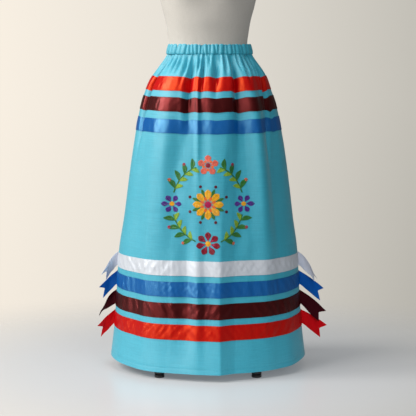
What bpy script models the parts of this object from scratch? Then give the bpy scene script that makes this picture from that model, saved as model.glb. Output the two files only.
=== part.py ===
"""A gathered ribbon skirt on a limbless dress form, which stands on a five-legged base.

Metres, +Z up. The origin is on the floor under the pole. The skirt's front faces -Y,
and +X is the right-hand side of someone who looks at the front. Angles round the skirt
are in degrees: 0 is the middle of the front, -90 and 90 are the side seams, and 180 is
the middle of the back.
"""

import math

import bmesh
import bpy
import numpy as np

# ---- Driving sizes -------------------------------------------------------------------

HEM_HEIGHT = 0.020
HEM_TURNING = 0.0135
WAIST_SEAM = 0.8955
WAISTBAND_WIDTH = 0.0295
CLOTH = 0.0015
HEM_CLOTH = 0.0030
RIBBON_CLOTH = 0.0010
GAP = 0.0003

UPPER_RIBBON = 0.0385
LOWER_RIBBON = 0.0420

WAISTBAND_GATHERS = 36
WAISTBAND_RUFFLE = 0.0020
GATHER_OPENS = 0.035
GATHER_AT_SEAM = 0.5

# The loose ribbon ends reach further on the right, so the pole stands a little to the left
# of the origin, which is the middle of the whole object.
POLE_X = -0.013
POLE_RADIUS = 0.014
HUB_RADIUS = 0.034
HUB_HEIGHTS = (0.098, 0.160)
LEG_COUNT = 5
LEG_WIDTH = 0.024
LEG_DEPTH = 0.020
LEG_TIP = 0.240
LEG_ROOT_HEIGHT = 0.121
LEG_TIP_HEIGHT = 0.023
FOOT_RADIUS = 0.014
FOOT_HEIGHT = 0.008
FOOT_AT = 0.231

# ---- Tables --------------------------------------------------------------------------

# The skirt's outline, level by level. The dip is how far the middle of the front hangs
# down, and the lift is how far the side seams ride up.
# height, half width, front depth, back depth, front dip, side lift
SKIRT_SECTIONS = np.array((
    (0.8955, 0.1235, 0.0965, 0.0960, 0.0000, 0.0000),
    (0.8870, 0.1310, 0.1035, 0.1040, 0.0000, 0.0000),
    (0.8640, 0.1440, 0.1160, 0.1170, 0.0000, 0.0000),
    (0.8335, 0.1635, 0.1290, 0.1320, 0.0010, 0.0000),
    (0.7950, 0.1790, 0.1400, 0.1460, 0.0030, 0.0000),
    (0.7765, 0.1855, 0.1440, 0.1510, 0.0040, 0.0000),
    (0.7380, 0.1960, 0.1510, 0.1590, 0.0050, 0.0000),
    (0.7180, 0.2000, 0.1540, 0.1620, 0.0050, 0.0000),
    (0.6795, 0.2070, 0.1590, 0.1670, 0.0050, 0.0000),
    (0.5700, 0.2240, 0.1690, 0.1790, 0.0030, 0.0000),
    (0.4400, 0.2410, 0.1790, 0.1900, 0.0010, 0.0000),
    (0.3270, 0.2580, 0.1880, 0.1990, 0.0000, 0.0035),
    (0.2265, 0.2640, 0.2010, 0.2110, 0.0000, 0.0085),
    (0.1095, 0.2720, 0.2230, 0.2320, 0.0000, 0.0100),
    (0.0200, 0.2824, 0.2450, 0.2520, 0.0000, 0.0125),
))

# The grooves between the gathers, from one side seam to the other, front then back. The
# pressed fold of FOLDS lies halfway between two of them.
# angle at the waist, angle at the hem, depth, reach below the waist seam
FRONT_GATHERS = (
    (-74, -43, 0.014, 0.30),
    (-58, -34, 0.008, 0.10),
    (-45, -27, 0.007, 0.12),
    (-33, -20, 0.007, 0.09),
    (-21, -14, 0.013, 0.17),
    (-8, -8, 0.008, 0.10),
    (5, -3, 0.013, 0.16),
    (19, 1.7, 0.008, 0.10),
    (29, 11.5, 0.013, 0.20),
    (37, 20, 0.008, 0.10),
    (47, 28, 0.009, 0.13),
    (59, 35, 0.008, 0.10),
    (73, 43, 0.015, 0.32),
)
BACK_GATHERS = (
    (108, 119, 0.014, 0.26),
    (121, 130, 0.008, 0.10),
    (132, 139, 0.009, 0.12),
    (144, 148, 0.007, 0.09),
    (154, 158, 0.013, 0.20),
    (167, 168, 0.008, 0.11),
    (178, 176, 0.009, 0.10),
    (190, 185, 0.013, 0.18),
    (201, 194, 0.008, 0.10),
    (213, 205, 0.007, 0.11),
    (225, 216, 0.012, 0.16),
    (237, 228, 0.007, 0.10),
    (250, 241, 0.014, 0.28),
)

# The long folds that reach down from the waist. A negative rise is a valley. A sharp
# fold is a pressed crease, and the others are round.
# angle at the waist, angle at the hem, half width, rise at each of FOLD_HEIGHTS, sharp
FOLD_HEIGHTS = (0.86, 0.62, 0.33, 0.02)
FOLDS = (
    (-66, -54, 15, (0.000, -0.003, -0.006, -0.012), False),
    (-56, -42, 13, (0.002, 0.007, 0.008, -0.003), False),
    (-36, -29, 12, (0.000, -0.006, -0.005, 0.002), False),
    (24, 6.6, 20, (0.000, 0.008, 0.011, 0.016), True),
    (30, 12.5, 9, (0.000, -0.006, -0.002, 0.000), False),
    (44, 29, 14, (0.002, 0.007, 0.010, 0.005), False),
    (64, 50, 14, (0.000, 0.000, 0.004, 0.004), False),
    (118, 128, 18, (0.002, 0.008, 0.008, 0.006), False),
    (140, 147, 12, (0.000, -0.006, -0.006, -0.002), False),
    (160, 166, 16, (0.000, 0.007, 0.009, 0.010), False),
    (196, 190, 14, (0.000, -0.006, -0.005, -0.003), False),
    (219, 211, 18, (0.001, 0.007, 0.009, 0.009), False),
    (243, 232, 14, (0.000, -0.005, -0.004, -0.002), False),
)

# name, height of its top edge, width, colour
RIBBONS = (
    ("upper_red", 0.8367, UPPER_RIBBON, "red"),
    ("upper_maroon", 0.7813, UPPER_RIBBON, "maroon"),
    ("upper_blue", 0.7217, UPPER_RIBBON, "blue"),
    ("lower_white", 0.3270, LOWER_RIBBON, "white"),
    ("lower_blue", 0.2685, LOWER_RIBBON, "blue"),
    ("lower_maroon", 0.2100, LOWER_RIBBON, "maroon"),
    ("lower_red", 0.1515, LOWER_RIBBON, "red"),
)

# The loose ribbon ends at the side seams. Out and drop run from the middle of the seam to
# the middle of the cut end. Lean and rise are how far that end's top corner lies out from
# and above its bottom corner, seen from the front, and roll turns that corner back (1) or
# forward (-1). The knee is where the end bends, as shares of out and drop.
# ribbon, side, out, drop, lean, rise, knee out, knee drop, roll, swing to the back
TAILS = (
    ("lower_white", -1, 0.042, 0.056, 0.014, 0.020, 0.30, 0.10, -1, -0.006),
    ("lower_blue", -1, 0.0465, 0.045, 0.011, 0.035, 0.34, 0.28, -1, -0.008),
    ("lower_maroon", -1, 0.047, 0.052, -0.004, 0.018, 0.62, 0.30, -1, -0.004),
    ("lower_red", -1, 0.0455, 0.044, 0.0105, 0.0365, 0.30, 0.24, -1, -0.008),
    ("lower_white", 1, 0.0525, 0.066, 0.014, 0.003, 0.42, 0.18, 1, 0.008),
    ("lower_blue", 1, 0.0675, 0.052, 0.0135, 0.035, 0.32, 0.26, 1, 0.006),
    ("lower_maroon", 1, 0.066, 0.0585, 0.024, 0.0295, 0.35, 0.28, 1, 0.000),
    ("lower_red", 1, 0.066, 0.0455, 0.0215, 0.0345, 0.35, 0.26, 1, 0.006),
)
TAIL_NOTCH = 0.013
TAIL_STEPS = 6

# The dress form's outline.
# height, half width, front depth, back depth
FORM_SECTIONS = (
    (0.600, 0.1540, 0.0960, 0.1120),
    (0.606, 0.1580, 0.0985, 0.1150),
    (0.650, 0.1650, 0.1030, 0.1230),
    (0.700, 0.1670, 0.1050, 0.1260),
    (0.750, 0.1620, 0.1045, 0.1200),
    (0.800, 0.1490, 0.1000, 0.1080),
    (0.840, 0.1320, 0.0930, 0.0970),
    (0.870, 0.1185, 0.0870, 0.0890),
    (0.895, 0.1120, 0.0840, 0.0840),
    (0.926, 0.1120, 0.0845, 0.0835),
    (0.960, 0.1160, 0.0880, 0.0840),
    (0.993, 0.1215, 0.0945, 0.0860),
    (1.030, 0.1315, 0.0980, 0.0890),
    (1.070, 0.1405, 0.1020, 0.0920),
    (1.105, 0.1465, 0.1050, 0.0935),
    (1.140, 0.1530, 0.1040, 0.0950),
    (1.180, 0.1640, 0.0980, 0.0960),
    (1.220, 0.1720, 0.0880, 0.0930),
    (1.250, 0.1730, 0.0770, 0.0860),
    (1.268, 0.1660, 0.0690, 0.0790),
    (1.284, 0.1440, 0.0610, 0.0700),
    (1.300, 0.1080, 0.0550, 0.0620),
    (1.314, 0.0760, 0.0515, 0.0570),
    (1.330, 0.0590, 0.0495, 0.0530),
    (1.352, 0.0545, 0.0480, 0.0500),
    (1.378, 0.0530, 0.0470, 0.0480),
)
FORM_COLUMNS = 40
BUST_HEIGHT = 1.105
BUST_REACH = 0.056
BUST_ANGLE = 30
BUST_SPREAD = 20
BUST_RISE = 0.022
ARMHOLE_PLANE = 0.153
ARMHOLE_CENTRE = (0.000, 1.206)
ARMHOLE_RADII = (0.042, 0.062)
NECK_CAP_HEIGHT = 0.012
NECK_CAP_OVERHANG = 0.003
COLLAR_RADIUS = 0.032
COLLAR_HEIGHT = 0.022

# Colours with roughness and metallic.
MATERIALS = {
    "turquoise_cotton": ((0.08, 0.50, 0.60), 0.85, 0.0),
    "red": ((0.72, 0.03, 0.02), 0.35, 0.0),
    "maroon": ((0.10, 0.012, 0.018), 0.35, 0.0),
    "blue": ((0.01, 0.14, 0.46), 0.35, 0.0),
    "white": ((0.72, 0.76, 0.82), 0.35, 0.0),
    "linen": ((0.52, 0.50, 0.45), 0.9, 0.0),
    "black_iron": ((0.012, 0.012, 0.013), 0.45, 0.6),
}

# ---- Scene and mesh helpers ----------------------------------------------------------


def clear_scene():
    for obj in list(bpy.data.objects):
        bpy.data.objects.remove(obj, do_unlink=True)


def material(name):
    found = bpy.data.materials.get(name)
    if found:
        return found
    colour, roughness, metallic = MATERIALS[name]
    made = bpy.data.materials.new(name)
    made.use_nodes = True
    shader = made.node_tree.nodes["Principled BSDF"]
    shader.inputs["Base Color"].default_value = (*colour, 1.0)
    shader.inputs["Roughness"].default_value = roughness
    shader.inputs["Metallic"].default_value = metallic
    return made


def add_object(name, bm, finish, smooth_under=40):
    """Turn a bmesh into a named object with outward normals."""
    bmesh.ops.recalc_face_normals(bm, faces=bm.faces)
    bmesh.ops.translate(bm, verts=bm.verts, vec=(POLE_X, 0.0, 0.0))
    mesh = bpy.data.meshes.new(name)
    bm.to_mesh(mesh)
    bm.free()
    mesh.shade_smooth()
    mesh.set_sharp_from_angle(angle=math.radians(smooth_under))
    mesh.materials.append(material(finish))
    obj = bpy.data.objects.new(name, mesh)
    bpy.context.scene.collection.objects.link(obj)
    return obj


def wall(outer, inner, closed=False):
    """A bmesh wall between two grids of points, each indexed [row][column]."""
    bm = bmesh.new()
    rows, columns = outer.shape[:2]
    sheets = [[[bm.verts.new(p) for p in row] for row in grid] for grid in (outer, inner)]
    steps = columns if closed else columns - 1

    def quad(a, b, c, d):
        bm.faces.new((a, b, c))
        bm.faces.new((a, c, d))

    for row in range(rows - 1):
        for step in range(steps):
            after = (step + 1) % columns
            for sheet in sheets:
                quad(sheet[row][step], sheet[row][after], sheet[row + 1][after], sheet[row + 1][step])
    out, inn = sheets
    for row in (0, rows - 1):
        for step in range(steps):
            after = (step + 1) % columns
            quad(out[row][step], out[row][after], inn[row][after], inn[row][step])
    if not closed:
        for column in (0, columns - 1):
            for row in range(rows - 1):
                quad(out[row][column], out[row + 1][column], inn[row + 1][column], inn[row][column])
    return bm


def stacked_rings(rings):
    """A closed bmesh through rings of equal length, with a flat face at each end."""
    bm = bmesh.new()
    made = [[bm.verts.new(p) for p in ring] for ring in rings]
    count = len(made[0])
    for lower, upper in zip(made, made[1:]):
        for i in range(count):
            after = (i + 1) % count
            bm.faces.new((lower[i], lower[after], upper[after], upper[i]))
    bm.faces.new(made[0])
    bm.faces.new(made[-1])
    return bm


# ---- The skirt's cloth ---------------------------------------------------------------


def skirt_section(height):
    """Half width, front depth, back depth, front dip and side lift at a height."""
    down = SKIRT_SECTIONS[::-1]
    return [float(np.interp(height, down[:, 0], down[:, i])) for i in range(1, 6)]


def drifted(at_waist, at_hem, height):
    """Where a fold lies at a height: it drifts fast below the waist and then hangs plumb."""
    down = (WAIST_SEAM - height) / (WAIST_SEAM - HEM_HEIGHT)
    return at_waist + (at_hem - at_waist) * (1 - (1 - down) ** 3)


def fold_rise(angle, height):
    """How far the long folds push the cloth out at an angle and height."""
    total = 0.0
    for at_waist, at_hem, half_width, rises, sharp in FOLDS:
        away = abs(angle - drifted(at_waist, at_hem, height)) / half_width
        if away < 1:
            rise = np.interp(height, FOLD_HEIGHTS[::-1], rises[::-1])
            total += rise * (1 - away if sharp else 0.5 + 0.5 * math.cos(math.pi * away))
    return total


def gather_share(height, reach):
    """How much of a gather's full depth there is at a height."""
    below = WAIST_SEAM - height
    opening = min(1.0, GATHER_AT_SEAM + (1 - GATHER_AT_SEAM) * below / GATHER_OPENS)
    fading = max(0.0, 1 - below / reach)
    return opening * fading * fading * (3 - 2 * fading)


def cloth_point(angle, height, groove=0.0):
    """A point of the skirt's outer face, and the level direction that points out there."""
    half_width, front, back, dip, lift = skirt_section(height)
    turn = math.radians(angle)
    across, forward = math.sin(turn), math.cos(turn)
    depth = front if forward > 0 else back
    out = np.array((depth * across, -half_width * forward, 0.0))
    out /= np.linalg.norm(out)
    point = np.array((half_width * across, -depth * forward, height))
    point += out * (fold_rise(angle, height) - groove)
    point[2] += lift * abs(across) ** 6 - dip * max(0.0, forward) ** 2
    return point, out


def panel_columns(gathers, first, last):
    """The panel's columns: both seams, each groove, a crest between two, and two by a seam."""
    grooves = [(first, first, 0.0, 1.0), *gathers, (last, last, 0.0, 1.0)]
    columns = [grooves[0]]
    for before, after in zip(grooves, grooves[1:]):
        by_seam = first in before[:1] or last in after[:1]
        for share in (1 / 3, 2 / 3) if by_seam else (1 / 2,):
            angles = [before[i] + (after[i] - before[i]) * share for i in (0, 1)]
            columns.append((*angles, 0.0, 1.0))
        columns.append(after)
    return columns


def panel_grid(gathers, first, last, heights):
    """Points of one panel's outer face and their outward normals, row by row."""
    columns = panel_columns(gathers, first, last)
    points = np.zeros((len(heights), len(columns), 3))
    for row, height in enumerate(heights):
        for column, (at_waist, at_hem, depth, reach) in enumerate(columns):
            angle = drifted(at_waist, at_hem, height)
            groove = depth * gather_share(height, reach)
            points[row, column] = cloth_point(angle, height, groove)[0]
    down, along = np.gradient(points, axis=0), np.gradient(points, axis=1)
    normals = np.cross(down, along)
    # A side seam lies in the plane y = 0, so its two columns face straight sideways.
    normals[:, (0, -1), 1] = 0.0
    normals /= np.linalg.norm(normals, axis=2, keepdims=True)
    toward_back = 1 if gathers is BACK_GATHERS else -1
    points[:, (0, -1), 1] = toward_back * GAP / 2
    return points, normals


def panel_heights():
    """The levels that a panel needs: its edges, every ribbon edge, and a few between."""
    hem_top = HEM_HEIGHT + HEM_TURNING
    edges = [WAIST_SEAM, 0.887, 0.864, 0.570, 0.440, hem_top + 0.001, hem_top, HEM_HEIGHT]
    for _, top, width, _ in RIBBONS:
        edges += [top, top - width]
    return sorted(edges, reverse=True)


def build_panel(name, points, normals, heights):
    thick = [HEM_CLOTH if h <= HEM_HEIGHT + HEM_TURNING else CLOTH for h in heights]
    inner = points - normals * np.array(thick)[:, None, None]
    add_object(name, wall(points, inner), "turquoise_cotton")


def build_ribbon(name, points, normals, heights, top, width, colour):
    """A ribbon sewn flat on a panel: the panel's own points, moved out."""
    first = heights.index(top)
    rows = slice(first, heights.index(top - width) + 1)
    inner = points[rows] + normals[rows] * GAP
    outer = inner + normals[rows] * RIBBON_CLOTH
    add_object(name, wall(outer, inner), colour)


def build_skirt():
    heights = panel_heights()
    panels = (
        ("front", panel_grid(FRONT_GATHERS, -90, 90, heights)),
        ("back", panel_grid(BACK_GATHERS, 90, 270, heights)),
    )
    for side, (points, normals) in panels:
        build_panel(f"skirt_{side}", points, normals, heights)
        for name, top, width, colour in RIBBONS:
            build_ribbon(f"ribbon_{name}_{side}", points, normals, heights, top, width, colour)


def build_waistband():
    """The elastic casing: a ring whose outer face is ruffled and whose inner face is smooth."""
    count = 2 * WAISTBAND_GATHERS
    low = WAIST_SEAM + GAP
    # share of the width, thickness there
    levels = ((0.0, 0.0105), (0.5, 0.0080), (1.0, 0.0060))
    outer, inner = [], []
    for share, thickness in levels:
        height = low + share * WAISTBAND_WIDTH
        outside = form_ring(height, count, thickness)
        inside = form_ring(height, count, GAP)
        for i in range(0, count, 2):
            crest, groove = outside[i], inside[i]
            outward = (crest - groove) / np.linalg.norm(crest - groove)
            outside[i] = crest - outward * WAISTBAND_RUFFLE
        outer.append(outside)
        inner.append(inside)
    add_object("waistband", wall(np.array(outer), np.array(inner), closed=True), "turquoise_cotton")


def tail_station(row, seam, share):
    """Middle of a loose end at a share of its length, and the way across it to its top edge."""
    _, side, out, drop, lean, height, knee_out, knee_drop, roll, swing = row
    top, bottom = seam
    width = np.linalg.norm(top - bottom)
    start = (top + bottom) / 2 + np.array((side * (2.5 * GAP + RIBBON_CLOTH), 0.0, 0.0))
    knee = start + np.array((side * out * knee_out, 0.0, -drop * knee_drop))
    end = start + np.array((side * out, swing, -drop))
    middle = start * (1 - share) ** 2 + knee * (2 * share * (1 - share)) + end * share**2
    aside = math.sqrt(width**2 - lean**2 - height**2)
    settled = np.array((side * lean, roll * aside, height)) / width
    blend = share * share * (3 - 2 * share)
    across = (top - bottom) / width * (1 - blend) + settled * blend
    return middle, across / np.linalg.norm(across)


def build_tail(row):
    """One loose ribbon end: it leaves the seam, droops, twists and ends in a swallow tail."""
    name, side, out, drop = row[:4]
    top, width, colour = next(r[1:] for r in RIBBONS if r[0] == name)
    seam = [cloth_point(side * 90, h)[0] for h in (top, top - width)]
    notch = TAIL_NOTCH / math.hypot(out, drop)
    grid = np.zeros((TAIL_STEPS + 1, 3, 3))
    for step in range(TAIL_STEPS + 1):
        share = step / TAIL_STEPS
        middle, across = tail_station(row, seam, share)
        grid[step] = (
            middle + across * width / 2,
            tail_station(row, seam, share * (1 - notch))[0],
            middle - across * width / 2,
        )
    down, along = np.gradient(grid, axis=0), np.gradient(grid, axis=1)
    normals = np.cross(down, along)
    normals /= np.linalg.norm(normals, axis=2, keepdims=True)
    half = normals * RIBBON_CLOTH / 2
    side_name = "left" if side < 0 else "right"
    add_object(f"tail_{name}_{side_name}", wall(grid + half, grid - half), colour)


# ---- The dress form and its stand ----------------------------------------------------


def form_ring(height, count, out=0.0):
    """A level ring round the dress form, moved out from its surface."""
    table = np.array(FORM_SECTIONS)
    half_width, front, back = (np.interp(height, table[:, 0], table[:, i]) for i in (1, 2, 3))
    bust_here = BUST_RISE * math.exp(-(((height - BUST_HEIGHT) / BUST_REACH) ** 2))
    ring = np.zeros((count, 3))
    for i in range(count):
        turn = 2 * math.pi * i / count
        forward = math.cos(turn)
        depth = front if forward > 0 else back
        if forward > 0:
            angle = math.degrees(math.asin(math.sin(turn)))
            depth += bust_here * math.exp(-(((abs(angle) - BUST_ANGLE) / BUST_SPREAD) ** 2))
        across = (half_width + out) * math.sin(turn)
        across = max(-ARMHOLE_PLANE, min(ARMHOLE_PLANE, across))
        ring[i] = (across, -(depth + out) * forward, height)
    return ring


def build_armhole_plate(name, side):
    """The oval plate that closes an armhole, on the flat that the torso has there."""
    middle_y, middle_z = ARMHOLE_CENTRE
    # distance out from the flat, share of the plate's full size
    profile = ((0.0, 1.0), (0.003, 1.0), (0.005, 0.93))
    rings = []
    for out, share in profile:
        ring = []
        for i in range(32):
            turn = 2 * math.pi * i / 32
            ring.append((
                side * (ARMHOLE_PLANE + GAP + out),
                middle_y + ARMHOLE_RADII[0] * share * math.cos(turn),
                middle_z + ARMHOLE_RADII[1] * share * math.sin(turn),
            ))
        rings.append(ring)
    add_object(name, stacked_rings(rings), "black_iron")


def build_form():
    rings = [form_ring(row[0], FORM_COLUMNS) for row in FORM_SECTIONS]
    add_object("form_torso", stacked_rings(rings), "linen")
    neck_top = FORM_SECTIONS[-1][0]
    low = neck_top + GAP
    # height above the neck, how far it stands proud of the neck
    profile = (
        (0.000, NECK_CAP_OVERHANG),
        (0.006, NECK_CAP_OVERHANG),
        (0.010, -0.006),
        (NECK_CAP_HEIGHT, -0.022),
    )
    rings = []
    for rise, proud in profile:
        ring = form_ring(neck_top, FORM_COLUMNS, proud)
        ring[:, 2] = low + rise
        rings.append(ring)
    add_object("form_neck_cap", stacked_rings(rings), "black_iron")
    build_armhole_plate("form_armhole_plate_left", -1)
    build_armhole_plate("form_armhole_plate_right", 1)


def turned(name, profile, finish, count=32, centre=(0.0, 0.0)):
    """A solid turned about a plumb axis, from rows of height and radius."""
    rings = []
    for height, radius in profile:
        ring = np.zeros((count, 3))
        for i in range(count):
            turn = 2 * math.pi * i / count
            ring[i] = (
                centre[0] + radius * math.sin(turn),
                centre[1] - radius * math.cos(turn),
                height,
            )
        rings.append(ring)
    add_object(name, stacked_rings(rings), finish)


def build_leg(number):
    """A straight sloping arm with a plumb tip, and the round foot under it."""
    azimuth = math.radians(360 / LEG_COUNT * number + 180)
    ahead = np.array((math.sin(azimuth), -math.cos(azimuth), 0.0))
    aside = np.array((math.cos(azimuth), math.sin(azimuth), 0.0))
    root = HUB_RADIUS + GAP
    # distance from the axis, height of the middle, half the depth
    stations = (
        (root, LEG_ROOT_HEIGHT, LEG_DEPTH / 2),
        (FOOT_AT - 0.012, LEG_TIP_HEIGHT + 0.009, LEG_DEPTH / 2),
        (FOOT_AT - 0.008, LEG_TIP_HEIGHT + 0.0045, LEG_TIP_HEIGHT + 0.0045 - FOOT_HEIGHT - GAP),
        (LEG_TIP, LEG_TIP_HEIGHT, LEG_TIP_HEIGHT - FOOT_HEIGHT - GAP),
    )
    rings = []
    for along, middle, half in stations:
        corners = ((-1, -1), (1, -1), (1, 1), (-1, 1))
        rings.append([
            ahead * along + aside * (LEG_WIDTH / 2 * across) + np.array((0, 0, middle + half * up))
            for across, up in corners
        ])
    # The flat root meets the hub's round wall along its middle.
    add_object(f"stand_leg_{number + 1}", stacked_rings(rings), "black_iron")
    foot = ahead * FOOT_AT
    turned(
        f"stand_foot_{number + 1}",
        ((0.0, FOOT_RADIUS), (FOOT_HEIGHT, FOOT_RADIUS)),
        "black_iron",
        count=16,
        centre=(foot[0], foot[1]),
    )


def build_stand():
    bottom, top = HUB_HEIGHTS
    turned(
        "stand_hub",
        (
            (bottom, HUB_RADIUS),
            (LEG_ROOT_HEIGHT + LEG_DEPTH / 2 + 0.004, HUB_RADIUS),
            (top - 0.006, 0.022),
            (top, 0.020),
        ),
        "black_iron",
    )
    form_bottom = FORM_SECTIONS[0][0]
    collar_bottom = form_bottom - GAP - COLLAR_HEIGHT
    turned(
        "stand_pole",
        ((top + GAP, POLE_RADIUS), (collar_bottom - GAP, POLE_RADIUS)),
        "black_iron",
        count=24,
    )
    turned(
        "stand_collar",
        (
            (collar_bottom, POLE_RADIUS + 0.006),
            (collar_bottom + 0.014, POLE_RADIUS + 0.006),
            (collar_bottom + 0.017, COLLAR_RADIUS),
            (form_bottom - GAP, COLLAR_RADIUS),
        ),
        "black_iron",
    )
    for number in range(LEG_COUNT):
        build_leg(number)


clear_scene()
build_skirt()
build_waistband()
for tail in TAILS:
    build_tail(tail)
build_form()
build_stand()
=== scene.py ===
import contextlib
import math

import bmesh
import bpy
import numpy as np
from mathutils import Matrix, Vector


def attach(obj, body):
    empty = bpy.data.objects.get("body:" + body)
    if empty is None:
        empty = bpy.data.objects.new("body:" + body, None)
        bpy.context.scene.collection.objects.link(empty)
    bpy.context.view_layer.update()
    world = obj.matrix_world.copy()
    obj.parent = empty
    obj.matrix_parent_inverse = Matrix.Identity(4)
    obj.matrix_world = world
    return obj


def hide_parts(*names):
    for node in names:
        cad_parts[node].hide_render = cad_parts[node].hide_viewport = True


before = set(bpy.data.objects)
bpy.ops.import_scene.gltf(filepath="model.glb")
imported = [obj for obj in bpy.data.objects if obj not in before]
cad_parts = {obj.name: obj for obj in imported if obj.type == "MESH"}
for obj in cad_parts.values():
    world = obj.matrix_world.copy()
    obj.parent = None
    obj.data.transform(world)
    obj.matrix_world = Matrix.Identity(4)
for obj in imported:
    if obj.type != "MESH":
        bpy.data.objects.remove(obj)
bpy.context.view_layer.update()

# ---- Room, light and camera ------------------------------------------
# A pale studio floor that fades into a plain backdrop. A large soft box stands at the
# front left, a tall window box at the left, a weak one at the right, and one hangs overhead.

CAMERA_PLACE = (-0.013, -4.4, 0.911)
CAMERA_TILT = 84.1
CAMERA_LENS = 132.5
FLOOR_RADIUS = 2.4
FLOOR_SOLID_TO = 0.35
FLOOR_GONE_BY = 1.35
# name, place, aimed at, width, height, watts, colour, whether it shows in a sheen
SOFT_BOXES = (
    ("key_box", (-2.85, -2.45, 2.9), (0.0, 0.0, 0.75), 1.8, 2.1, 117, (1.0, 0.975, 0.94), True),
    ("window_box", (-2.7, -0.4, 2.4), (0.0, 0.0, 0.85), 1.1, 2.4, 98, (1.0, 0.97, 0.93), True),
    ("fill_box", (1.5, -4.0, 1.7), (0.0, 0.0, 0.40), 2.2, 2.2, 70, (0.95, 0.97, 1.0), False),
    ("overhead_box", (-0.2, -0.2, 3.6), (0.0, 0.0, 0.0), 1.8, 1.8, 34, (0.97, 0.99, 1.0), True),
)


def feed(tree, made, **inputs):
    """Set or link a node's inputs, named with underscores for spaces; _N is by number."""
    for key, value in inputs.items():
        socket = made.inputs[int(key[1:])] if key[0] == "_" else made.inputs[key.replace("_", " ")]
        if isinstance(value, bpy.types.NodeSocket):
            tree.links.new(value, socket)
        else:
            socket.default_value = value
    return made


def node(tree, kind, settings=None, **inputs):
    """Add a shader or geometry node."""
    made = tree.nodes.new(kind)
    for key, value in (settings or {}).items():
        setattr(made, key, value)
    return feed(tree, made, **inputs)


def maths(tree, operation, *values):
    numbered = {f"_{i}": v for i, v in enumerate(values)}
    return node(tree, "ShaderNodeMath", {"operation": operation}, **numbered).outputs[0]


def plus(tree, first, second):
    return maths(tree, "ADD", first, second)


def minus(tree, first, second):
    return maths(tree, "SUBTRACT", first, second)


def times(tree, first, second):
    return maths(tree, "MULTIPLY", first, second)


def weighted(tree, first, share, second):
    """A mix of two values, with this share of the first."""
    return plus(tree, times(tree, first, share), times(tree, second, 1 - share))


def ranged(tree, value, settings=None, **limits):
    """A value stretched between limits."""
    return node(tree, "ShaderNodeMapRange", settings, Value=value, **limits).outputs["Result"]


def blend_colours(tree, factor, first, second):
    made = node(tree, "ShaderNodeMix", {"data_type": "RGBA"}, _0=factor, _6=first, _7=second)
    return made.outputs[2]


def new_material(name, colour, roughness, **shader_values):
    """A material, its tree and its shader."""
    made = bpy.data.materials.new(name)
    made.use_nodes = True
    tree = made.node_tree
    shader = tree.nodes["Principled BSDF"]
    feed(tree, shader, Base_Color=(*colour, 1.0), Roughness=roughness, **shader_values)
    return made, tree, shader


def new_object(name, data, *materials):
    for each in materials:
        data.materials.append(each)
    made = bpy.data.objects.new(name, data)
    bpy.context.scene.collection.objects.link(made)
    return made


@contextlib.contextmanager
def mending(mesh, source=None):
    """Edit a mesh, or fill it from another mesh and edit that."""
    bm = bmesh.new()
    bm.from_mesh(source or mesh)
    yield bm
    bm.to_mesh(mesh)
    bm.free()


def make_camera():
    lens = bpy.data.cameras.new("camera")
    lens.lens = CAMERA_LENS
    lens.sensor_width = 36.0
    camera = new_object("camera", lens)
    camera.location = CAMERA_PLACE
    camera.rotation_euler = (math.radians(CAMERA_TILT), 0.0, 0.0)
    bpy.context.scene.camera = camera


def make_soft_box(name, place, aim, width, height, watts, colour, shines):
    lamp = bpy.data.lights.new(name, "AREA")
    lamp.shape = "RECTANGLE"
    lamp.size, lamp.size_y = width, height
    lamp.energy = watts
    lamp.color = colour
    box = new_object(name, lamp)
    box.location = place
    box.rotation_euler = (Vector(aim) - Vector(place)).to_track_quat("-Z", "Y").to_euler()
    box.visible_camera = False
    box.visible_glossy = shines


def make_backdrop():
    """The light of the room: warm and bright on the left, cooler and dimmer on the right."""
    world = bpy.data.worlds.new("studio")
    bpy.context.scene.world = world
    world.use_nodes = True
    tree = world.node_tree
    where = node(tree, "ShaderNodeTexCoord").outputs["Generated"]
    split = node(tree, "ShaderNodeSeparateXYZ", _0=where)
    across = ranged(tree, split.outputs["X"], From_Min=-0.13, From_Max=0.13)
    ramp = node(tree, "ShaderNodeValToRGB", Fac=across)
    stops = ramp.color_ramp.elements
    stops[0].position, stops[0].color = 0.0, (0.90, 0.83, 0.73, 1.0)
    stops[1].position, stops[1].color = 1.0, (0.53, 0.51, 0.46, 1.0)
    middle = stops.new(0.45)
    middle.color = (0.76, 0.72, 0.65, 1.0)
    # It looks brighter than the light that it gives.
    seen = node(tree, "ShaderNodeLightPath").outputs["Is Camera Ray"]
    strength = plus(tree, times(tree, seen, 0.86), 0.18)
    # It is a little darker low down, and more so on the right.
    low = ranged(tree, split.outputs["Z"], From_Min=-0.17, From_Max=-0.03)
    dim = times(tree, maths(tree, "MAXIMUM", across, 0.35), minus(tree, 1.0, low))
    darker = blend_colours(tree, times(tree, dim, 0.12), ramp.outputs["Color"], (0, 0, 0, 1))
    feed(tree, tree.nodes["Background"], Color=darker, Strength=strength)


def make_floor():
    mesh = bpy.data.meshes.new("floor")
    with mending(mesh) as bm:
        bmesh.ops.create_circle(bm, cap_ends=True, radius=FLOOR_RADIUS, segments=96)
    # The floor's faint emission is a painted glow, not a lamp: it lifts the shadows on the floor.
    made, tree, shader = new_material(
        "studio_floor", (0.475, 0.484, 0.497), 0.28, Specular_IOR_Level=0.4,
        Emission_Color=(0.90, 0.95, 1.0, 1.0), Emission_Strength=0.165,
    )
    place = node(tree, "ShaderNodeTexCoord").outputs["Object"]
    distance = node(tree, "ShaderNodeVectorMath", {"operation": "LENGTH"}, _0=place).outputs["Value"]
    smooth = {"interpolation_type": "SMOOTHSTEP"}
    gone = ranged(tree, distance, smooth, From_Min=FLOOR_SOLID_TO, From_Max=FLOOR_GONE_BY)
    clear = node(tree, "ShaderNodeBsdfTransparent").outputs[0]
    both = node(tree, "ShaderNodeMixShader", _0=gone, _1=shader.outputs[0], _2=clear).outputs[0]
    feed(tree, tree.nodes["Material Output"], Surface=both)
    new_object("floor", mesh, made)


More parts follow.
